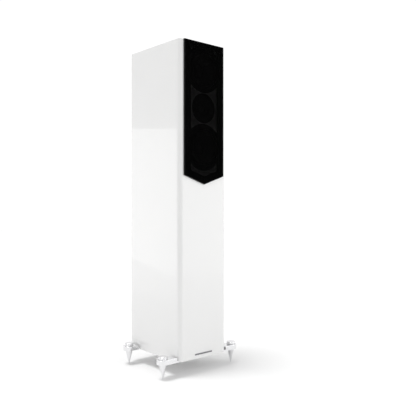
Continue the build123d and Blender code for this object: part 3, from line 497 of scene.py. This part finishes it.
# %% [markdown]
# ## Woven finishes
# The cone is a woven glass fibre sheet in dark resin, the dome is coated silk and the spider is
# resin-stiffened cotton. A plain weave is two sets of waves at right angles: where one thread
# passes over, the other passes under. The sign of the product of two long waves picks which set
# is on top.


# %% Woven finishes
def weave(across, down, pitch):
    """Height of a plain weave from 0 to 1.

    Thread rounding is the size of a sine across each thread. The product of two sines of twice
    the pitch is positive where the first set of threads is on top, and that set's rounding is
    used there.
    """
    first = (across * (np.pi / pitch)).sine()
    second = (down * (np.pi / pitch)).sine()
    over = first * second > 0.0
    return over * second.size() + (1 - over) * first.size()


def cone_weave(pitch=2.2 * MM):
    """Coarse glass threads that shine where they come up and are dull between."""
    finish = Finish("cone_weave", (0.02, 0.02, 0.022), Roughness=0.42, Coat_Weight=0.35,
                    Coat_Roughness=0.25)
    x, _, z = finish.along(finish.place())
    threads = weave(x, z, pitch)
    finish.tint(threads, (0.008, 0.008, 0.009), (0.040, 0.040, 0.044))
    finish.gloss(threads, 0.0, 1.0, 0.6, 0.34)
    finish.bump(threads, 0.12 * MM)
    return finish


def fine_cloth(name, dark, light, pitch, depth, roughness):
    """A weave whose colour is broken up by noise six threads across."""
    finish = Finish(name, dark, Roughness=roughness)
    x, _, z = finish.along(finish.place())
    threads = weave(x, z, pitch)
    finish.tint(threads * finish.noise(pitch * 6, 3.0), dark, light)
    finish.bump(threads, depth)
    return finish


def fluffy(name, color):
    """White fibre fill: soft lumps with finer strands on them, and painted shade in the hollows."""
    finish = Finish(name, color, Roughness=1.0, Sheen_Weight=0.4)
    lumps = finish.noise(12 * MM, 8.0, roughness=0.7)
    # Painted shade: the fill's colour drops to three quarters in the hollows of the lumps' own
    # bump.
    finish.tint(lumps, tuple(part * 0.75 for part in color), color)
    finish.bump(lumps, 1.5 * MM)
    return finish


cloths = {
    "cone_weave": cone_weave(),
    "dome_silk": fine_cloth("dome_silk", (0.010, 0.010, 0.011), (0.030, 0.030, 0.032),
                            pitch=0.4 * MM, depth=0.02 * MM, roughness=0.6),
    "spider_cloth": fine_cloth("spider_cloth", (0.35, 0.20, 0.07), (0.62, 0.42, 0.18),
                               pitch=0.8 * MM, depth=0.1 * MM, roughness=0.8),
    "wadding": fluffy("wadding", (0.82, 0.82, 0.80)),
}
print("cloths", list(cloths))

# %% [markdown]
# ## The grille cloth
# Grille cloth is an open knit that sound passes through, so a little light does too: the pale
# front panel behind it shows as slightly lighter shapes between the drivers. Alpha carries the
# holes, on the sheet's own UV map, which counts metres along the cloth, so the knit keeps its
# size round the edges.


# %% Grille cloth finish
def grille_fabric(pitch=1.1 * MM):
    """Alpha goes from 0.76 between threads to 0.985 on them, and changes with the slack."""
    finish = Finish("grille_fabric", (0.002, 0.002, 0.002), Roughness=0.9, Specular_IOR_Level=0.0)
    u, v, _ = finish.along(finish.place("UV"))
    threads = weave(u, v, pitch)
    slack = finish.noise(20 * MM)
    finish.paint("Alpha", finish.ramp(threads + slack * 0.15, 0.10, 0.75, 0.76, 0.985))
    finish.tint(threads, (0.0006, 0.0006, 0.0006), (0.0022, 0.0022, 0.0022))
    finish.bump(threads, 0.1 * MM)
    return finish


cloths["grille_fabric"] = grille_fabric()
print("cloths", len(cloths))

# %% [markdown]
# ## Windings
# A coil's wire shows as closely laid turns, drawn as a sine along the coil's axis. The wire is
# copper under clear enamel, which is a coat over the metal.


# %% Winding finish
def wound_copper(turn=0.8 * MM):
    """Turns of wire side by side: the sine of 2 pi y / the width of one turn."""
    finish = Finish("copper_winding", (0.72, 0.34, 0.16), Metallic=0.85, Roughness=0.3,
                    Coat_Weight=0.6)
    _, y, _ = finish.along(finish.place())
    finish.tint(finish.noise(4 * MM, 3.0), (0.58, 0.24, 0.10), (0.80, 0.42, 0.22))
    finish.bump((y * (2 * np.pi / turn)).sine(), 0.06 * MM)
    return finish


windings = {"copper_winding": wound_copper()}
print("windings", list(windings))

# %% [markdown]
# ## One finish for each slot
# The record names a material slot for every node. Each slot gets one finish, and every node of
# the engineering model takes its slot's finish, those deep inside the cabinet too. The floor gets
# a plain matt white of its own.

# %% Finishes by slot
finishes = {**boards, **mouldings, **metals, **cloths, **windings}
slot_of = {row["node"]: row["material_slot"] for row in frame["record"]["subparts"]}
for node_name, node_object in frame["nodes"].items():
    node_object.data.materials.clear()
    node_object.data.materials.append(finishes[slot_of[node_name]].material)
studio_floor = Finish("studio_floor", (0.90, 0.90, 0.90), Roughness=0.55, Specular_IOR_Level=0.2)
studio_floor.bump(studio_floor.noise(20 * MM, 3.0), 0.01 * MM)
floor.data.materials.append(studio_floor.material)
print("slots finished", len(finishes))

# %% [markdown]
# ## Turned shapes
# Anything round is a profile carried round an axis: points of radius and height, swept through a
# full turn. Real edges are never perfectly sharp, so a helper first eases each corner of the
# profile.


# %% Turning helpers
def eased(points, radius, steps=4):
    """Rounds the corners of an open profile.

    At each inner corner two points are taken on the sides at the given distance from it, or at
    most 0.45 of the shorter side. A curve joins them: (1-t)^2 of one, 2t(1-t) of the corner and
    t^2 of the other.
    """
    points = np.asarray(points, float)
    before, corner, after = points[:-2], points[1:-1], points[2:]
    back, ahead = before - corner, after - corner
    back_size = np.linalg.norm(back, axis=1, keepdims=True)
    ahead_size = np.linalg.norm(ahead, axis=1, keepdims=True)
    reach = np.minimum(radius, 0.45 * np.minimum(back_size, ahead_size))
    start, end = corner + back / back_size * reach, corner + ahead / ahead_size * reach
    t = np.linspace(0, 1, steps + 1)[None, :, None]
    curve = ((1 - t) ** 2 * start[:, None] + 2 * t * (1 - t) * corner[:, None]
             + t ** 2 * end[:, None])
    return np.vstack([points[:1], curve.reshape(-1, 2), points[-1:]])


X_WAY, Y_WAY, Z_WAY = np.eye(3)
AXES = {"up": (X_WAY, Y_WAY, Z_WAY), "back": (X_WAY, Z_WAY, Y_WAY), "front": (X_WAY, Z_WAY, -Y_WAY)}


def turned(name, profile, centre, axis, segments=96, ripple=None, closed=False, sharp_angle=35):
    """Surface of revolution: centre + r (cos a, sin a) in the cross plane + h along the axis.

    ripple(angle, height) gives a change of radius for each point, as on a fluted rim. A closed
    profile is a ring that doesn't reach the axis.
    """
    profile = np.asarray(profile, float)
    angle = np.linspace(0, 2 * np.pi, segments, endpoint=False)[None, :]
    radius, height = profile[:, :1], profile[:, 1:2]
    if ripple is not None:
        radius = radius + ripple(angle, height)
    right, up, along = AXES[axis]
    radius, height, angle = np.broadcast_arrays(radius, height, angle)
    points = (np.asarray(centre) + (radius * np.cos(angle))[..., None] * right
              + (radius * np.sin(angle))[..., None] * up + height[..., None] * along)
    faces = grid_faces(len(profile), segments, close_rows=closed, close_columns=True)
    return put_mesh(name, points.reshape(-1, 3), faces, sharp_angle=sharp_angle)


def dress(piece, slot, body, *nodes):
    """Gives a new piece its finish, its body and the nodes that it stands for."""
    piece.data.materials.append(finishes[slot].material)
    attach(piece, body)
    if nodes:
        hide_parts(*nodes)
    return piece


print("turning axes", list(AXES))

# %% [markdown]
# ## The spikes and lock discs
# Each foot is a slender turned cone with a rim at its top, screwed up into an arm, and a thick
# disc on the arm's top that locks it. A cone's side is very slightly hollow. Both are turned here
# with eased edges, because polished metal shows every facet and every edge as a line of light.

# %% Spike and disc sizes
STUD_RADIUS = 4.0 * MM
STUD_CHAMFER = 0.6 * MM
ARM_GAP = 0.1 * MM
SPIKE_RIM = 2.2 * MM
CONE_STEP = (0.3 * MM, 0.5 * MM)
CONE_BOW = 1.2 * MM
TIP_RADIUS = 0.8 * MM
TIP_ROUND = 0.3 * MM
TIP_START = 0.5 * MM
SPIKE_ROUND = 0.5 * MM
DISC_BORE = 4.05 * MM
DISC_BORE_DEPTH = 7.5 * MM
DISC_GROOVE = 0.9 * MM
DISC_CHAMFER = 1.6 * MM
DISC_DISH = 0.4 * MM
DISC_ROUND = 0.35 * MM
print("stud in mm", round(2 * STUD_RADIUS / MM, 1), "disc bore", round(2 * DISC_BORE / MM, 1))


# %% Spikes and discs
def make_spike(corner):
    """The cone's radius falls from rim to tip along a straight line less a bow times t(1-t)."""
    node = "spike_" + corner
    low, high, centre = measured(node)
    rim, tip, top, shoulder = (high[0] - low[0]) / 2, low[2], high[2], base_z - ARM_GAP
    cone_rim, cone_top = rim - CONE_STEP[0], shoulder - SPIKE_RIM - CONE_STEP[1]
    t = np.linspace(0, 1, 40)
    radius = cone_rim + (TIP_RADIUS - cone_rim) * t - CONE_BOW * t * (1 - t)
    height = cone_top + (tip + TIP_START - cone_top) * t
    head = eased([(0, top), (STUD_RADIUS - STUD_CHAMFER, top), (STUD_RADIUS, top - STUD_CHAMFER),
                  (STUD_RADIUS, shoulder), (rim, shoulder), (rim, shoulder - SPIKE_RIM),
                  (radius[0], height[0])], SPIKE_ROUND)
    foot = eased([(radius[-1], height[-1]), (TIP_RADIUS * 0.8, tip), (0, tip)], TIP_ROUND)
    profile = np.vstack([head, np.stack([radius, height], axis=1)[1:-1], foot])
    piece = turned(node + "_turned", profile, (centre[0], centre[1], 0), "up", sharp_angle=50)
    return dress(piece, "chrome_steel", node, node)


def make_lock_disc(corner):
    """A disc with a narrow groove at its foot, a broad chamfer and a shallow dish in its top."""
    node = "lock_disc_" + corner
    low, high, centre = measured(node)
    radius, foot, head = (high[0] - low[0]) / 2, low[2], high[2]
    waist, bore_top, dish = radius - DISC_GROOVE, foot + DISC_BORE_DEPTH, head - DISC_DISH
    profile = eased([(0, bore_top), (DISC_BORE, bore_top), (DISC_BORE, foot), (waist, foot),
                     (waist, foot + DISC_GROOVE), (radius, foot + DISC_GROOVE),
                     (radius, head - DISC_CHAMFER), (radius - DISC_CHAMFER, head),
                     (radius * 0.5, head), (radius * 0.42, dish), (0, dish)], DISC_ROUND)
    piece = turned(node + "_turned", profile, (centre[0], centre[1], 0), "up", sharp_angle=50)
    return dress(piece, "chrome_steel", node, node)


corners = ("front_left", "front_right", "rear_left", "rear_right")
for corner in corners:
    make_spike(corner)
    make_lock_disc(corner)
print("feet", len(corners))

# %% [markdown]
# ## The grille cloth as a sheet
# The cloth is one flat piece pulled over the frame and turned back round every edge. Counting
# metres along the sheet from its middle, a point stays on the flat front until it nears the edge,
# then follows a small round, then runs straight back along the frame's side. The lower edge does
# the same below the V. Over the frame's open window the tight cloth dips back by a quarter of a
# millimetre.

# %% Grille cloth sizes
frame_low, frame_high, _ = measured("grille_frame")
cloth_front = measured("grille_cloth")[0][1]
V_DROP = 26.0 * MM
EDGE_ROUND = 1.6 * MM
HEM_GAP = 0.2 * MM
CLOTH_INSET = 0.05 * MM
FRAME_BAR = 22 * MM
WINDOW_REACH = 190 * MM
CLOTH_DIP = 0.25 * MM
cloth_half = frame_high[0]
turn_back = front_y - cloth_front - HEM_GAP
cloth_middle = (frame_low[2] + V_DROP + top_z) / 2
cloth_reach = top_z - cloth_middle
print("cloth half sizes in mm", np.round(np.array([cloth_half, cloth_reach]) / MM, 1))


# %% Grille cloth sheet
def over_edge(distance, edge):
    """Where a point lands that lies a distance along the cloth: how far out, and how far back.

    Inside the edge less its rounding it stays flat. Then it follows a quarter circle, and beyond
    that it runs straight back.
    """
    past = np.maximum(distance - (edge - EDGE_ROUND), 0.0)
    angle = np.minimum(past / EDGE_ROUND, np.pi / 2)
    straight = np.maximum(past - EDGE_ROUND * np.pi / 2, 0.0)
    out = np.minimum(distance, edge - EDGE_ROUND) + EDGE_ROUND * np.sin(angle)
    back = EDGE_ROUND * (1 - np.cos(angle)) + straight
    return out, back


def edge_samples(edge, flat_count, turned_count=10):
    """Distances along the cloth from one hem to the other, closely spaced round both edges."""
    hem = edge - EDGE_ROUND + EDGE_ROUND * np.pi / 2 + turn_back - EDGE_ROUND
    flat = np.linspace(0, edge - EDGE_ROUND, flat_count, endpoint=False)
    half = np.concatenate([flat, np.linspace(edge - EDGE_ROUND, hem, turned_count)])
    return np.concatenate([-half[:0:-1], half])


across = edge_samples(cloth_half, 28)
upright = edge_samples(cloth_reach, 60)
sheet_u, sheet_v = np.meshgrid(across, upright)
out_x, back_x = over_edge(np.abs(sheet_u), cloth_half)
out_z, back_z = over_edge(np.abs(sheet_v), cloth_reach)
sheet_x = np.sign(sheet_u) * out_x
below = np.clip(-sheet_v / cloth_reach, 0, 1)
v_shape = V_DROP * (1 - np.abs(sheet_x) / cloth_half) * below
sheet_z = cloth_middle + np.sign(sheet_v) * out_z - v_shape
open_across = np.clip(1 - (sheet_x / (cloth_half - FRAME_BAR)) ** 2, 0, 1)
open_upright = np.clip(1 - np.abs(sheet_v / WINDOW_REACH) ** 8, 0, 1)
dip = CLOTH_DIP * open_across * open_upright
sheet_y = cloth_front + CLOTH_INSET + np.minimum(back_x + back_z, turn_back) + dip
sheet_points = np.stack([sheet_x, sheet_y, sheet_z], axis=-1).reshape(-1, 3)
sheet_uv = np.stack([sheet_u, sheet_v], axis=-1).reshape(-1, 2)
sheet_faces = grid_faces(len(upright), len(across))
cloth = put_mesh("grille_cloth_sheet", sheet_points, sheet_faces, uv=sheet_uv, sharp_angle=80)
dress(cloth, "grille_fabric", "grille", "grille_cloth")

# %% [markdown]
# ## Rubber surrounds
# A surround joins the moving cone to the fixed chassis. Its inner lip moves with the cone and
# its outer lip stays. Each ring here is only turned and left in place: its points are not shared
# between the two bodies.


# %% Surrounds
def ring_weights(piece):
    """Reads a ring's points into an array; no share of the moving body is given to them."""
    points = np.empty(len(piece.data.vertices) * 3, np.float32)
    piece.data.vertices.foreach_get("co", points)
    points = points.reshape(-1, 3)


def make_surround(driver, slot, radii, thickness, roll_height):
    """A ring of even thickness whose middle rises in a half roll.

    The four radii are the inner lip, the roll's two feet and the outer lip. The front face is
    flat on both lips and rises between them by roll_height times the sine of the way across. The
    back face is the same line one thickness behind.
    """
    node = driver + "_surround"
    _, high, centre = measured(node)
    back = high[1]
    lip, roll_in, roll_out, bond = radii
    way = np.linspace(0, 1, 24)
    radius = np.concatenate([[lip], roll_in + (roll_out - roll_in) * way, [bond]])
    rise = np.concatenate([[0], roll_height * np.sin(np.pi * way), [0]])
    front_line = np.stack([radius, back - thickness - rise], axis=1)
    back_line = np.stack([radius, back - rise], axis=1)[::-1]
    profile = np.vstack([front_line, back_line])
    piece = turned(node + "_moulded", profile, (centre[0], 0, centre[2]), "back", 128, closed=True,
                   sharp_angle=60)
    piece.data.materials.append(finishes[slot].material)
    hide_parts(node)
    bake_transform(piece)
    ring_weights(piece)
    return piece


woofers = ("upper_woofer", "lower_woofer")
WOOFER_SURROUND = (45 * MM, 47 * MM, 56 * MM, 60 * MM)
TWEETER_SURROUND = (12.82 * MM, 12.9 * MM, 16.2 * MM, 17.7 * MM)
for woofer in woofers:
    make_surround(woofer, "surround_rubber", WOOFER_SURROUND,
                  thickness=1.0 * MM, roll_height=2.6 * MM)
make_surround("tweeter", "dome_silk", TWEETER_SURROUND,
              thickness=0.5 * MM, roll_height=1.0 * MM)
print("surrounds", len(woofers) + 1)

# %% [markdown]
# ## Woofer cones
# A woofer's cone is a thin shell that curves: steep near the coil and flatter at its rim, which
# keeps it stiff. Each shell here is a profile of one thickness turned round the driver's axis,
# inside the space of its solid. The bead of glue where the dust cap meets the cone is a small
# ring of its own.

# %% Cone and bead sizes
CONE_WALL = 1.2 * MM
CONE_NECK = 16.3 * MM
CONE_LIP_SHARE = 0.035
CONE_HOLLOW = 0.9 * MM
BEAD_HALF_WIDTH = 0.55 * MM
BEAD_HALF_DEPTH = 0.4 * MM
BEAD_OUT = 0.2 * MM
BEAD_IN = 0.9 * MM
print("cone wall in mm", round(CONE_WALL / MM, 1))


# %% Cones and beads
def make_cone(woofer):
    """Depth grows from rim to neck along a straight line less a hollow times 4t(1-t)^2.

    The radius stays at the rim for the first small share of t, then falls evenly to the neck.
    """
    node = woofer + "_cone"
    low, high, centre = measured(node)
    rim, face = (high[0] - low[0]) / 2, low[1]
    t = np.linspace(0, 1, 40)
    depth = face + (high[1] - face - CONE_WALL) * t - CONE_HOLLOW * 4 * t * (1 - t) * (1 - t)
    inward = np.maximum((t - CONE_LIP_SHARE) / (1 - CONE_LIP_SHARE), 0)
    line = np.stack([rim - (rim - CONE_NECK) * inward, np.maximum(depth, face)], axis=1)
    shell = np.vstack([line, line[::-1] + (0, CONE_WALL)])
    piece = turned(node + "_pressed", shell, (centre[0], 0, centre[2]), "back", 160, closed=True)
    return dress(piece, "cone_weave", woofer + "_cone_assembly", node)


def make_bead(woofer):
    """An oval ring: r = middle + half width cos a, depth = middle + half depth sin a."""
    cap_low, cap_high, _ = measured(woofer + "_dust_cap")
    centre = measured(woofer + "_cone")[2]
    angle = np.linspace(0, 2 * np.pi, 12, endpoint=False)
    ring_radius = (cap_high[0] - cap_low[0]) / 2 + BEAD_OUT
    section = np.stack([ring_radius + BEAD_HALF_WIDTH * np.cos(angle),
                        cap_high[1] - BEAD_IN + BEAD_HALF_DEPTH * np.sin(angle)], axis=1)
    ring = turned(woofer + "_glue_bead", section, (centre[0], 0, centre[2]), "back", 128,
                  closed=True)
    return dress(ring, "surround_rubber", woofer + "_cone_assembly")


for woofer in woofers:
    make_cone(woofer)
    make_bead(woofer)
print("cones", len(woofers))

# %% [markdown]
# ## Binding post caps
# The caps are turned plastic with coarse flutes for the fingers, so their radius ripples with the
# angle along the middle of their length. The cosine is raised to a soft square so that the flutes
# have flat tops.

# %% Post cap sizes
CAP_BORE = 3.05 * MM
CAP_CHAMFER = 0.8 * MM
BORE_CHAMFER = 0.6 * MM
BORE_MARGIN = 0.7 * MM
GRIP_FROM_START = 3.0 * MM
GRIP_FROM_END = 2.0 * MM
GRIP_STEP = 0.3 * MM
FLUTE_COUNT = 18
FLUTE_DEPTH = 0.45 * MM
FLUTE_SQUARENESS = 3
print("flutes on a cap", FLUTE_COUNT)


# %% Post caps
def make_post_cap(colour):
    """On the grip the radius drops by depth times (1 + tanh(squareness cos(count a))) / 2."""
    node = "post_cap_" + colour
    low, high, centre = measured(node)
    radius, start, end = (high[0] - low[0]) / 2, low[1], high[1]
    grip_start, grip_end = start + GRIP_FROM_START, end - GRIP_FROM_END
    profile = np.array([
        (CAP_BORE, start), (radius - CAP_CHAMFER, start), (radius, start + CAP_CHAMFER),
        (radius, grip_start), (radius, grip_start + GRIP_STEP), (radius, grip_end - GRIP_STEP),
        (radius, grip_end), (radius, end - CAP_CHAMFER), (radius - CAP_CHAMFER, end),
        (CAP_BORE + BORE_CHAMFER, end), (CAP_BORE, end - BORE_CHAMFER)])
    outside = profile[:, :1] > CAP_BORE + BORE_MARGIN

    def flutes(angle, height):
        on_grip = (height > grip_start) & (height < grip_end) & outside
        wave = 0.5 + 0.5 * np.tanh(FLUTE_SQUARENESS * np.cos(FLUTE_COUNT * angle))
        return -FLUTE_DEPTH * on_grip * wave

    piece = turned(node + "_fluted", profile, (centre[0], 0, centre[2]), "back", 216, ripple=flutes,
                   closed=True)
    return dress(piece, colour + "_cap", node, node)


cap_colours = ("red", "black")
for colour in cap_colours:
    make_post_cap(colour)
print("post caps", cap_colours)

# %% [markdown]
# ## The reflex port
# The port is a moulded tube whose mouth flares so that air leaves it quietly. Its inner wall
# follows a quarter circle from the flange down to the straight bore.

# %% Reflex port
PORT_BORE = 25 * MM
PORT_MOUTH = 34 * MM
PORT_WALL = 2.5 * MM
PORT_FLANGE = 3 * MM
FLARE_OUTSIDE = 31 * MM
FLARE_END = 14 * MM
MOUTH_LIP = 0.5 * MM
PORT_ROUND = 0.6 * MM
port_low, port_high, port_centre = measured("reflex_port")
port_depth, flange_edge = port_high[1] - port_low[1], port_high[0]
swing = np.linspace(0, np.pi / 2, 16)
flare_drop = PORT_MOUTH - PORT_BORE
flare_radius = PORT_MOUTH - flare_drop * np.sin(swing)
flare = np.stack([flare_radius, flare_drop * (1 - np.cos(swing))], axis=1)
tube = eased([(PORT_BORE, flare_drop), (PORT_BORE, port_depth), (PORT_BORE + PORT_WALL, port_depth),
              (PORT_BORE + PORT_WALL, FLARE_END), (FLARE_OUTSIDE, PORT_FLANGE),
              (flange_edge, PORT_FLANGE), (flange_edge, 0), (PORT_MOUTH + MOUTH_LIP, 0),
              (PORT_MOUTH, 0)], PORT_ROUND)
port_profile = np.vstack([flare[:-1], tube[:-1]])
port = turned("reflex_port_moulded", port_profile, (0, port_high[1], port_centre[2]), "front", 128,
              closed=True)
dress(port, "port_plastic", "cabinet", "reflex_port")
print("port depth in mm", round(port_depth / MM, 1))

# %% [markdown]
# ## Finding the separate solids
# Some nodes hold several solids that are alike, such as pads or screws. Their meshes are loose
# triangles, so a copy is merged first. Points that its edges join then belong to one solid, and
# each solid's own box says where it lies.


# %% Islands
def merged_arrays(node):
    """Points and edge ends of a merged copy of a node's mesh."""
    shape = bmesh.new()
    shape.from_mesh(frame["nodes"][node].data)
    bmesh.ops.remove_doubles(shape, verts=shape.verts, dist=MERGE_DISTANCE)
    copy = bpy.data.meshes.new(node + "_merged")
    shape.to_mesh(copy)
    shape.free()
    points = np.empty(len(copy.vertices) * 3, np.float32)
    ends = np.empty(len(copy.edges) * 2, np.int32)
    copy.vertices.foreach_get("co", points)
    copy.edges.foreach_get("vertices", ends)
    bpy.data.meshes.remove(copy)
    return points.reshape(-1, 3).astype(float), ends.reshape(-1, 2)


def islands(node):
    """Lowest and highest corner of each separate solid in a node.

    Every point starts with a number of its own. Both ends of each edge then take the lower of their
    two numbers until nothing changes, and the points that share a number are one solid.
    """
    points, ends = merged_arrays(node)
    start, end = ends.T
    number, before = np.arange(len(points)), None
    while before is None or (number != before).any():
        before = number.copy()
        lower = np.minimum(number[start], number[end])
        np.minimum.at(number, start, lower)
        np.minimum.at(number, end, lower)
    solids = [points[number == solid] for solid in np.unique(number)]
    return [(solid.min(axis=0), solid.max(axis=0)) for solid in solids]


pad_boxes, screw_boxes = islands("damping_wadding"), islands("panel_screws")
print("pads", len(pad_boxes), "screws", len(screw_boxes))

# %% [markdown]
# ## Wadding
# The cabinet is lined with sheets of white fibre fill that swell a little between their edges.
# Each pad is a rounded box worked out from the box of its solid: a superellipsoid, which is a
# ball pushed out towards a box by small powers of the sine and cosine. A cloth simulation would
# swell them in the same way, but the pads lie flat against the panels, where a formula gives that
# shape directly.

# %% Wadding pads
PAD_POWER = 0.28
PAD_WAVE = 0.07
PAD_WAVE_RATES = (90, 70)


def signed_power(value):
    """The size of a value raised to the pads' power, with the value's sign kept."""
    return np.sign(value) * np.abs(value) ** PAD_POWER


def make_wadding(number, low, high, rows=33, columns=64):
    """One pad: x = cos(a)^p cos(b)^p, y = cos(a)^p sin(b)^p, z = sin(a)^p, scaled to the box.

    The thickness is then less by up to a seventh, in low waves: the product of two sines along the
    other two directions.
    """
    latitude = np.linspace(-np.pi / 2, np.pi / 2, rows)[:, None]
    longitude = np.linspace(0, 2 * np.pi, columns, endpoint=False)[None, :]
    girth = signed_power(np.cos(latitude))
    unit = np.stack(np.broadcast_arrays(
        girth * signed_power(np.cos(longitude)), girth * signed_power(np.sin(longitude)),
        signed_power(np.sin(latitude))), axis=-1).reshape(-1, 3)
    centre, half = (low + high) / 2, (high - low) / 2
    thin = int(np.argmin(half))
    points = centre + unit * half
    first, second = (axis for axis in range(3) if axis != thin)
    waves = (np.sin(points[:, first] * PAD_WAVE_RATES[0])
             * np.sin(points[:, second] * PAD_WAVE_RATES[1] + number))
    share = 1 - PAD_WAVE + PAD_WAVE * waves
    points[:, thin] = centre[thin] + (points[:, thin] - centre[thin]) * share
    faces = grid_faces(rows, columns, close_columns=True)
    pad = put_mesh(f"wadding_pad_{number}", points, faces, sharp_angle=80)
    dress(pad, "wadding", "cabinet", "damping_wadding")
    return pad


pads = [make_wadding(number, low, high) for number, (low, high) in enumerate(pad_boxes)]
print("wadding pads", len(pads))

# %% [markdown]
# ## Screws
# Each screw is a small socket screw with a hexagon sunk into its head, which shows when the
# grille is off. One profile serves them all. It is turned at each screw's own place, and in the
# socket its radius follows six flats instead of a circle. The terminal cup's four screws face
# backwards, and all others face the front.

# %% Screw sizes
SOCKET_HALF = 1.25 * MM
SOCKET_DEPTH = 1.3 * MM
SOCKET_RIM = (0.3 * MM, 0.1 * MM)
HEAD_RADIUS = 3.5 * MM
HEAD_DEPTH = 2.2 * MM
SHANK_RADIUS = 1.9 * MM
SCREW_LENGTH = 17.2 * MM
POINT_LENGTH = 1.5 * MM
POINT_RADIUS = 0.4 * MM
SCREW_ROUND = 0.35 * MM
print("screw head in mm", round(2 * HEAD_RADIUS / MM, 1), "socket", round(2 * SOCKET_HALF / MM, 1))


# %% Screws
def flats(angle, half_width):
    """Distance to a hexagon's side: half its width over the cosine of the angle from mid-side."""
    from_side = (angle + np.pi / 6) % (np.pi / 3) - np.pi / 6
    return half_width / np.cos(from_side)


def screw_points(segments=48):
    """Points and faces of one screw, its head at the origin: (r cos a, depth, r sin a)."""
    outside = eased([(SOCKET_HALF + SOCKET_RIM[0], 0), (HEAD_RADIUS, 0), (HEAD_RADIUS, HEAD_DEPTH),
                     (SHANK_RADIUS, HEAD_DEPTH), (SHANK_RADIUS, SCREW_LENGTH - POINT_LENGTH),
                     (POINT_RADIUS, SCREW_LENGTH), (0, SCREW_LENGTH)], SCREW_ROUND)
    socket = [(0, SOCKET_DEPTH), (SOCKET_HALF, SOCKET_DEPTH), (SOCKET_HALF, SOCKET_RIM[1])]
    profile = np.vstack([socket, outside])
    angle = np.linspace(0, 2 * np.pi, segments, endpoint=False)[None, :]
    in_socket = np.isclose(profile[:, :1], SOCKET_HALF)
    radius = profile[:, :1] + in_socket * (flats(angle, SOCKET_HALF) - SOCKET_HALF)
    depth = np.broadcast_to(profile[:, 1:], radius.shape)
    points = np.stack([radius * np.cos(angle), depth, radius * np.sin(angle)], axis=-1)
    return points.reshape(-1, 3), grid_faces(len(profile), segments, close_columns=True)


def make_screws(boxes):
    """All screws as one mesh: the same points moved to each head, mirrored where it faces back."""
    one, faces = screw_points()
    points = []
    for low, high in boxes:
        backwards = high[1] > rear_y
        place = (low + high) / 2
        place[1] = high[1] if backwards else low[1]
        points.append(place + one * (1, -1 if backwards else 1, 1))
    shifted = [faces + number * len(one) for number in range(len(boxes))]
    piece = put_mesh("panel_screws_socketed", np.vstack(points), np.vstack(shifted))
    return dress(piece, slot_of["panel_screws"], "cabinet", "panel_screws")


screws = make_screws(screw_boxes)
print("screw faces", len(screws.data.polygons))
